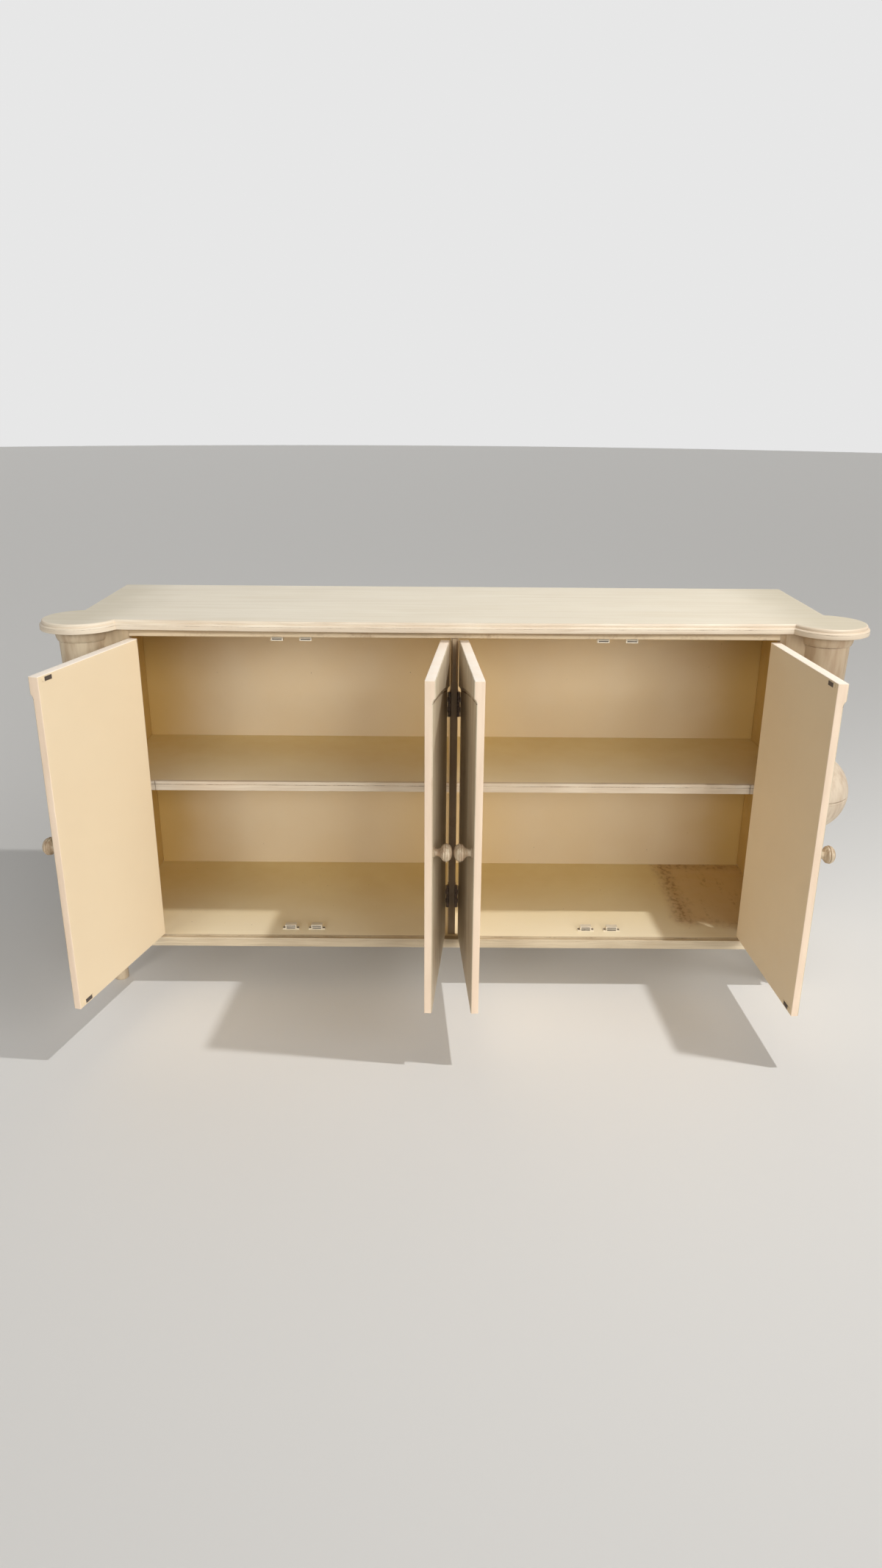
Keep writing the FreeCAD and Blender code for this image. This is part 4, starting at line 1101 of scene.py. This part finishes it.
def arch_height(door, u):
    """Height of the header's lower edge at u from the hinge edge: a circle through spring and crown."""
    size = sizes()
    spring = np.array([0.0, door.top - size.arch_spring])
    crown = np.array([door.width, door.top - size.arch_crown])
    chord = crown - spring
    span = np.linalg.norm(chord)
    radius = (span ** 2 / 4.0 + size.arch_rise ** 2) / (2.0 * size.arch_rise)
    centre = (spring + crown) / 2.0 + np.array([chord[1], -chord[0]]) / span * (radius - size.arch_rise)
    return centre[1] + np.sqrt(radius ** 2 - (u - centre[0]) ** 2)


def inner_rings(door, plan):
    """Rings of the door's inner face: its border drawn in from the wall over a quarter round to the flat.

    Gives the rings, as points, and the rub of each.
    """
    small = sizes().door_inner_round
    middle = np.array([door.width / 2.0, (door.bottom + door.top) / 2.0])
    half = np.array([door.width / 2.0, (door.top - door.bottom) / 2.0])
    bend = quarter()[1:]
    insets = [0.0, *(small * (1.0 - np.cos(bend))), small + sizes().rub_band]
    depths = [small, *(small * (1.0 - np.sin(bend))), 0.0]
    rings = []
    for inset, depth in zip(insets, depths):
        drawn = middle + (plan - middle) * ((half - inset) / half)
        rings.append(np.column_stack([drawn[:, 0], np.full(len(plan), door.back - depth), drawn[:, 1]]))
    return rings, [0.55] + [1.0] * len(bend) + [0.0]


DOOR_FINISHES = ("outside", "door", "door_edge", "door_top")
COVE_SHARES = (0.1, 0.25, 0.4, 0.55, 0.7, 0.85, 1.0)
# Glaze along the arch and the foot of the cove: partly real brown glaze, partly painted shadow under the
# header.
COVE_GLAZE_AND_SHADE = (0.85, 0.8, 0.55, 0.3)
HEADER_SHARES = (0.0, 0.3, 0.6, 1.0)
BRINK_DROP = 2.5 * MM
BROW_RISE = 1.5 * MM
ARRIS_RUB = 0.5


def door_surface(door):
    """Door in its own frame: a grid over its outer face, walls round it and a flat inner face.

    The face is sunk below the arch and proud above it; between them a cove rises as r - sqrt(r^2 - s^2).
    Near the border the face falls back on a quarter round. Rows follow the arch, so its edge stays crisp.
    """
    size = sizes()
    radius = size.door_round
    near = radius * (1.0 - np.cos(quarter()))
    inset = radius + size.rub_band
    u = np.concatenate([near, np.linspace(inset, door.width - inset, 40), (door.width - near)[::-1]])
    arch = arch_height(door, u)
    start = door.bottom + inset
    end = door.top - inset
    brink = arch - BRINK_DROP
    brow = arch + size.cove + BROW_RISE
    low_rows = [door.bottom + step for step in near] + [start]
    field = [start + (brink - start) * share for share in np.linspace(0.0, 1.0, 30)[1:]] + [arch]
    cove = [arch + size.cove * share for share in COVE_SHARES]
    header = [brow + (end - brow) * share for share in HEADER_SHARES]
    high_rows = [door.top - step for step in near[::-1]]
    z = np.stack([np.broadcast_to(row, u.shape) for row in low_rows + field + cove + header + high_rows])
    grid_u = np.broadcast_to(u, z.shape)

    rise = np.clip((z - arch) / size.cove, 0.0, 1.0) * size.cove
    bend = (size.cove ** 2 + size.header_proud ** 2) / (2.0 * size.header_proud)
    proud = bend - np.sqrt(bend ** 2 - rise ** 2)
    side = np.clip(radius - np.minimum(grid_u, door.width - grid_u), 0.0, radius)
    ends = np.clip(radius - np.minimum(z - door.bottom, door.top - z), 0.0, radius)
    fall = radius - np.sqrt(np.clip(radius ** 2 - side ** 2 - ends ** 2, 0.0, None))
    outer = np.stack([grid_u, door.face - proud + fall, z], axis=-1).reshape(-1, 3)

    rub = np.maximum(side, ends) / radius
    foot = len(low_rows) + len(field) - 1
    arris = foot + len(cove)
    rub[arris] = np.maximum(rub[arris], ARRIS_RUB)
    glaze = np.zeros_like(z)
    # Partly glaze, partly painted shadow under the header's edge.
    glaze[foot:foot + len(COVE_GLAZE_AND_SHADE), 1:-1] = np.array(COVE_GLAZE_AND_SHADE)[:, None]

    rows, columns = z.shape
    index = np.arange(rows * columns).reshape(rows, columns)
    border = np.concatenate([index[0, :-1], index[:-1, -1], index[-1, :0:-1], index[:0:-1, 0]])
    rings, ring_rub = inner_rings(door, outer[border][:, [0, 2]])
    count = len(border)
    first = rows * columns
    ring_points = np.concatenate(rings)
    points = np.concatenate([outer, ring_points])
    face = grid_quads(rows, columns)
    wall = np.arange(count) + first
    join = np.stack([border, wall, np.roll(wall, -1), np.roll(border, -1)], axis=1)
    walls = grid_quads(len(rings), count, closed=True)[:, ::-1] + first
    cap = range(len(points) - count, len(points))[::-1]
    surface = Surface(points, np.concatenate([face, join, walls]), [cap],
                      np.concatenate([rub.reshape(-1), np.repeat(ring_rub, count)]),
                      np.concatenate([glaze.reshape(-1), np.zeros(len(ring_points))]))
    kinds = [0] * len(face) + [2] * (len(join) + len(walls) - count) + [1] * (count + 1)
    # Faces on the door's top take the paler finish, a painted highlight.
    upper = points[:, 2] > door.top - 1.2 * size.door_inner_round
    surface.finish = [3 if kind == 2 and upper[corners].all() else kind
                      for kind, corners in zip(kinds, surface.faces)]
    surface.points[:, 0] += door.edge
    return surface


# Neck as (r, height) in mm; each bead as its foot's r, swell, middle height and half height in mm.
KNOB_INSET = 26.0 * MM
KNOB_TURNS = 56
KNOB_NECK = ((8.7, 4.4), (8.1, 6.2), (7.9, 8.4), (8.3, 10.6), (9.3, 13.0), (10.9, 15.2), (13.1, 17.2),
             (15.8, 19.0), (17.2, 20.4))
KNOB_BEADS = ((17.8, 0.7, 23.3, 1.7), (18.4, 1.1, 27.5, 2.1))


def knob_surface(door):
    """Turned knob on the door's face: flange, neck that flares into the head, two beads and a domed front.

    A bead's radius is its foot plus its swell times the cosine across its width. The front's radius goes as
    cos t to the power 1.2, and its height as sin t.
    """
    under = marked([(0.0, -0.3)])
    flange = marked([(11.3, -0.3), (11.7, 0.4), (11.7, 2.2)], 0.2)
    shoulder = marked(arc((10.8, 2.2), 0.9, 0.0, 90.0, 4), 0.3)
    quirk = marked([(9.6, 3.2)], 0.0, 0.8)
    rim = marked([(17.7, 21.0), (17.6, 21.4)], 0.0, 0.4)
    rows = [under, flange, shoulder, quirk, marked(KNOB_NECK, 0.0, 0.45), rim]
    across = np.linspace(-1.0, 1.0, 9) * math.pi / 2.0
    for foot, swell, middle, half in KNOB_BEADS:
        bead = np.column_stack([foot + swell * np.cos(across), middle + half * np.sin(across)])
        groove = [(foot - 0.3, middle + half + 0.25)]
        rows += [marked(bead, 0.05), marked(groove, 0.0, 0.9)]
    dome_r, dome_foot, dome_rise, dome_power = 18.0, 30.1, 9.9, 1.2
    turn = quarter(14)
    dome = np.column_stack([dome_r * np.cos(turn) ** dome_power, dome_foot + dome_rise * np.sin(turn)])
    rows.append(marked(dome, 0.05))
    spot = (door.edge + door.width - KNOB_INSET, door.face, (door.bottom + door.top) / 2.0)
    place = Matrix.Translation(spot) @ Matrix.Rotation(math.radians(90.0), 4, "X")
    return turned(np.concatenate(rows) * IN_METRES, KNOB_TURNS).moved(np.array(place))


# Rings of a screw head, as shares of its radius.
HEAD_RINGS = (0.0, 0.12, 0.2, 0.32, 0.44, 0.56, 0.68, 0.8, 0.92, 1.0)
HEAD_TURNS = 40
HEAD_SKIRT = 0.4 * MM


def screw_head(radius, dome):
    """Raised screw head: a dome over a disc, with a cross sunk into it, on a polar grid.

    Height is dome (1 - (r/R)^2), less a short ramp where |x| or |y| is under a fifth of the radius, near the
    middle.
    """
    turn = np.linspace(0.0, TAU, HEAD_TURNS, endpoint=False)
    r, t = np.meshgrid(HEAD_RINGS, turn, indexing="ij")
    x = r * np.cos(t)
    y = r * np.sin(t)
    arm = np.minimum(np.abs(x), np.abs(y))
    sunk = np.clip((0.2 - arm) / 0.08, 0.0, 1.0) * np.clip((0.66 - r) / 0.08, 0.0, 1.0)
    height = dome * (1.0 - r ** 2) - 0.7 * dome * sunk
    points = np.stack([x * radius, y * radius, height], axis=-1).reshape(-1, 3)
    skirt = points[-HEAD_TURNS:] - np.array([0.0, 0.0, HEAD_SKIRT])
    points = np.concatenate([points, skirt])
    cap = range(len(points) - HEAD_TURNS, len(points))[::-1]
    ring_mark = np.concatenate([np.where(r > 0.9, 0.9, 0.0).reshape(-1), np.full(HEAD_TURNS, 0.9)])
    quads = grid_quads(len(HEAD_RINGS) + 1, HEAD_TURNS, closed=True)
    return welded(Surface(points, quads, [cap], glaze=ring_mark))


def facing(position, direction):
    """Matrix that stands a screw head at a position, looking along a direction."""
    turn = Vector(direction).to_track_quat("Z", "Y").to_matrix().to_4x4()
    return np.array(Matrix.Translation(position) @ turn)


STRIKE_INSET = 33.0 * MM
STRIKE_HALF = 11.6 * MM
STRIKE_RISE = 4.4 * MM
STRIKE_THICK = 1.2 * MM
STRIKE_ROUND = 0.45 * MM
STRIKE_BAND = 2.0 * MM
STRIKE_LEVEL = 8.5 * MM
EAR_REACH = 19.5 * MM
EAR_R = 4.6 * MM
EAR_THICK = 1.0 * MM
EAR_SCREW = 16.0 * MM
SCREW_SUNK = 0.05 * MM
SCREW_R = 2.7 * MM
SCREW_DOME = 0.25 * MM


def strike_surfaces(door):
    """Strike plates on the inner face: dark plates between two pale round-ended ears, a screw in each ear.

    Gives the plates and the screw heads.
    """
    middle = door.edge + door.width + door.gap / 2.0 - STRIKE_INSET
    back = door.back
    rounded_end = arc((EAR_REACH - EAR_R, 0.0), EAR_R, -90.0, 90.0, 14)
    ear = np.concatenate([[(STRIKE_HALF, -EAR_R)], rounded_end, [(STRIKE_HALF, EAR_R)]])
    plates = []
    heads = []
    for level in (door.bottom + STRIKE_LEVEL, door.top - STRIKE_LEVEL):
        low = (middle - STRIKE_HALF, back, level - STRIKE_RISE)
        high = (middle + STRIKE_HALF, back + STRIKE_THICK, level + STRIKE_RISE)
        plates.append(rounded_box(low, high, STRIKE_ROUND, STRIKE_BAND))
        for way in (-1.0, 1.0):
            to_door = np.array([[0.0, way, 0.0, middle], [1.0, 0.0, 0.0, back], [0.0, 0.0, 1.0, level],
                                [0.0, 0.0, 0.0, 1.0]])
            part = extruded(ear, 0.0, EAR_THICK).moved(to_door)
            # Glaze round the ears' foot on the door: partly dirt, partly a painted shadow outline.
            part.glaze = np.repeat([0.95, 0.3], len(ear))
            part.finish = [1] * len(part.faces)
            plates.append(part)
            spot = (middle + way * EAR_SCREW, back + EAR_THICK - SCREW_SUNK, level)
            heads.append(screw_head(SCREW_R, SCREW_DOME).moved(facing(spot, (0.0, 1.0, 0.0))))
    return joined(plates), joined(heads)


def make_doors():
    """The four doors with knobs, strike plates and their screws."""
    door = DoorSizes()
    plates, heads = strike_surfaces(door)
    pieces = (
        ("_door_panel", "_door", door_surface(door), DOOR_FINISHES, GLAZED),
        ("_knob_turned", "_knob", knob_surface(door), ["knob"], GLAZED),
        ("_strike_pair", "_strike_plates", plates, ["strike", "door"], METAL),
        ("_strike_heads", "_strike_screws", heads, ["door"], METAL),
    )
    for name in DOORS:
        place = door_place(name)
        for ending, node, surface, finishes, slot in pieces:
            make_piece(name + ending, surface.moved(place), finishes, "door_" + name, name + node)


def dress(finish, *nodes):
    """Puts a finish on frame nodes that stay as they are."""
    for node in nodes:
        materials = frame["nodes"][node].data.materials
        materials.clear()
        materials.append(FINISHES[finish])


def make_blocks():
    """Raised blocks on the stiles and the partition keep their shapes and get the front frame's darker paint,
    partly painted shade.
    """
    dress("post", "left_spandrel_block", "right_spandrel_block", "partition_block")


def make_hardware():
    """Hinges, catches and hidden pieces keep their frame shapes and get their finishes."""
    dress("bronze", "frame_hinge_leaves", "frame_hinge_screws", "hinge_pins")
    for name in DOORS:
        dress("bronze", name + "_hinge_leaves", name + "_hinge_screws")
    dress("steel", "catch_pole_plates", "catch_screws")
    dress("plastic", "catch_magnets", "catch_bodies")
    dress("inside", "shelf_cleats")
    dress("outside", "left_rear_leg", "right_rear_leg")


# Stage


CAMERA_PLACE = (-31.25 * MM, FRONT - 2353.8 * MM, 1421.3 * MM)
CAMERA_PITCH = 20.453
CAMERA_ROLL = 0.413
CAMERA_YAW = -0.058
FOCAL_PIXELS = 1421.5
PHOTO_HEIGHT = 2133.0
SENSOR = 36.0


def make_camera():
    """Camera at the photograph's place; the sensor's width lies along the picture's long side."""
    lens = bpy.data.cameras.new("Camera")
    lens.sensor_width = SENSOR
    lens.lens = SENSOR * FOCAL_PIXELS / PHOTO_HEIGHT
    lens.clip_end = 100.0
    camera = put_in_scene("Camera", lens)
    yaw = Matrix.Rotation(math.radians(CAMERA_YAW), 4, "Z")
    pitch = Matrix.Rotation(math.radians(90.0 - CAMERA_PITCH), 4, "X")
    roll = Matrix.Rotation(math.radians(CAMERA_ROLL), 4, "Z")
    camera.matrix_world = Matrix.Translation(CAMERA_PLACE) @ yaw @ pitch @ roll
    bpy.context.scene.camera = camera


FLOOR_R = 30.0
FLOOR_POINTS = 96
FLOOR_ROUGHNESS = 0.7


def make_floor():
    """Plain pale floor: one large flat disc."""
    turn = np.linspace(0.0, TAU, FLOOR_POINTS, endpoint=False)
    ring = np.column_stack([np.cos(turn), np.sin(turn), np.zeros(FLOOR_POINTS)]) * FLOOR_R
    mesh = bpy.data.meshes.new("Floor")
    mesh.from_pydata(ring.tolist(), [], [list(range(FLOOR_POINTS))])
    material, tree, shader = new_material("Floor paint")
    shader.inputs["Base Color"].default_value = panel_colour("floor") + (1.0,)
    shader.inputs["Roughness"].default_value = FLOOR_ROUGHNESS
    mesh.materials.append(material)
    put_in_scene("Floor", mesh)


WORLD_LIGHT = (1.0, 0.985, 0.96, 1.0)
WORLD_STRENGTH = 0.13
BACKGROUND = (0.80, 0.80, 0.80, 1.0)


def make_world():
    """Soft surrounding light, with a pale background that the camera and reflections see."""
    world = bpy.data.worlds.new("Studio")
    bpy.context.scene.world = world
    world.use_nodes = True
    tree = world.node_tree
    light = tree.nodes["Background"]
    light.inputs["Color"].default_value = WORLD_LIGHT
    light.inputs["Strength"].default_value = WORLD_STRENGTH
    seen = add(tree, "ShaderNodeBackground")
    seen.inputs["Color"].default_value = BACKGROUND
    rays = add(tree, "ShaderNodeLightPath").outputs
    mirrored = greater(tree, rays["Is Glossy Ray"], rays["Is Transmission Ray"])
    mixed = add(tree, "ShaderNodeMixShader")
    link(tree, greater(tree, rays["Is Camera Ray"], mirrored), mixed.inputs[0])
    link(tree, light.outputs[0], mixed.inputs[1])
    link(tree, seen.outputs[0], mixed.inputs[2])
    link(tree, mixed.outputs[0], tree.nodes["World Output"].inputs["Surface"])


KEY_PLACE = (1.41, FRONT - 0.55, 3.49)
KEY_AIM = (0.0, FRONT, 0.6)
KEY_POWER = 53.0
KEY_SIZE = 0.09
# Each as its name, the direction that it shines from, its strength and the angle of its disc.
SUNS = (
    ("Right", (0.95, -0.65, 0.5), 1.0, 40.0),
    ("Front right", (0.42, -1.0, 0.33), 0.95, 20.0),
    ("Front left", (-0.42, -1.0, 0.33), 0.70, 20.0),
    ("Back", (-0.4, 1.0, 0.9), 0.3, 60.0),
)


def shine(lamp, direction):
    """Turns a lamp so that it shines along a direction."""
    lamp.rotation_euler = direction.to_track_quat("-Z", "Y").to_euler()


def make_lights():
    """A small round key lamp above the right end, and distant soft lights whose discs fill a given angle."""
    key = bpy.data.lights.new("Key", "AREA")
    key.shape = "DISK"
    key.size = KEY_SIZE
    key.energy = KEY_POWER
    lamp = put_in_scene("Key", key)
    lamp.location = KEY_PLACE
    shine(lamp, Vector(KEY_AIM) - Vector(KEY_PLACE))
    for name, source, strength, spread in SUNS:
        sun = bpy.data.lights.new(name, "SUN")
        sun.energy = strength
        sun.angle = math.radians(spread)
        shine(put_in_scene(name, sun), -Vector(source))


def show_plainly():
    bpy.context.scene.view_settings.view_transform = "Standard"


def run_all(*steps):
    for step in steps:
        step()
    return {"FINISHED"}


class CREDENZA_OT_finishes(bpy.types.Operator):
    """Makes the paints, metals and plastic"""

    bl_idname = "credenza.finishes"
    bl_label = "Finishes"

    def execute(self, context):
        return run_all(make_finishes)


class CREDENZA_OT_top(bpy.types.Operator):
    """Makes the moulded top"""

    bl_idname = "credenza.top"
    bl_label = "Top"

    def execute(self, context):
        return run_all(make_top)


class CREDENZA_OT_columns(bpy.types.Operator):
    """Makes the turned corner columns"""

    bl_idname = "credenza.columns"
    bl_label = "Columns"

    def execute(self, context):
        return run_all(make_columns)


class CREDENZA_OT_carcass(bpy.types.Operator):
    """Makes the boards, mouldings, shelves and raised blocks"""

    bl_idname = "credenza.carcass"
    bl_label = "Carcass"

    def execute(self, context):
        return run_all(make_carcass, make_base, make_lippings, make_blocks)


class CREDENZA_OT_doors(bpy.types.Operator):
    """Makes the doors with their knobs and strike plates"""

    bl_idname = "credenza.doors"
    bl_label = "Doors"

    def execute(self, context):
        return run_all(make_doors)


class CREDENZA_OT_hardware(bpy.types.Operator):
    """Dresses the hinges, catches and hidden pieces"""

    bl_idname = "credenza.hardware"
    bl_label = "Hardware"

    def execute(self, context):
        return run_all(make_hardware)


class CREDENZA_OT_stage(bpy.types.Operator):
    """Makes the camera, the lights and the floor"""

    bl_idname = "credenza.stage"
    bl_label = "Stage"

    def execute(self, context):
        return run_all(show_plainly, make_camera, make_floor, make_world, make_lights)


OPERATORS = (CREDENZA_OT_finishes, CREDENZA_OT_top, CREDENZA_OT_columns, CREDENZA_OT_carcass,
             CREDENZA_OT_doors, CREDENZA_OT_hardware, CREDENZA_OT_stage)


class CREDENZA_PT_panel(bpy.types.Panel):
    """Lists the steps and the values that they use"""

    bl_idname = "CREDENZA_PT_panel"
    bl_label = "Credenza"
    bl_space_type = "VIEW_3D"
    bl_region_type = "UI"
    bl_category = "Credenza"

    def draw(self, context):
        for operator in OPERATORS:
            self.layout.operator(operator.bl_idname)
        for group in (context.scene.credenza_sizes, context.scene.credenza_colours):
            box = self.layout.box()
            for label in group.__annotations__:
                box.prop(group, label)


CLASSES = (CredenzaSizes, CredenzaColours) + OPERATORS + (CREDENZA_PT_panel,)


def register():
    for item in CLASSES:
        bpy.utils.register_class(item)
    bpy.types.Scene.credenza_sizes = PointerProperty(type=CredenzaSizes)
    bpy.types.Scene.credenza_colours = PointerProperty(type=CredenzaColours)


def unregister():
    del bpy.types.Scene.credenza_colours
    del bpy.types.Scene.credenza_sizes
    for item in reversed(CLASSES):
        bpy.utils.unregister_class(item)


def main():
    register()
    bpy.ops.credenza.finishes()
    bpy.ops.credenza.top()
    bpy.ops.credenza.columns()
    bpy.ops.credenza.carcass()
    bpy.ops.credenza.doors()
    bpy.ops.credenza.hardware()
    bpy.ops.credenza.stage()


if __name__ == "__main__":
    main()
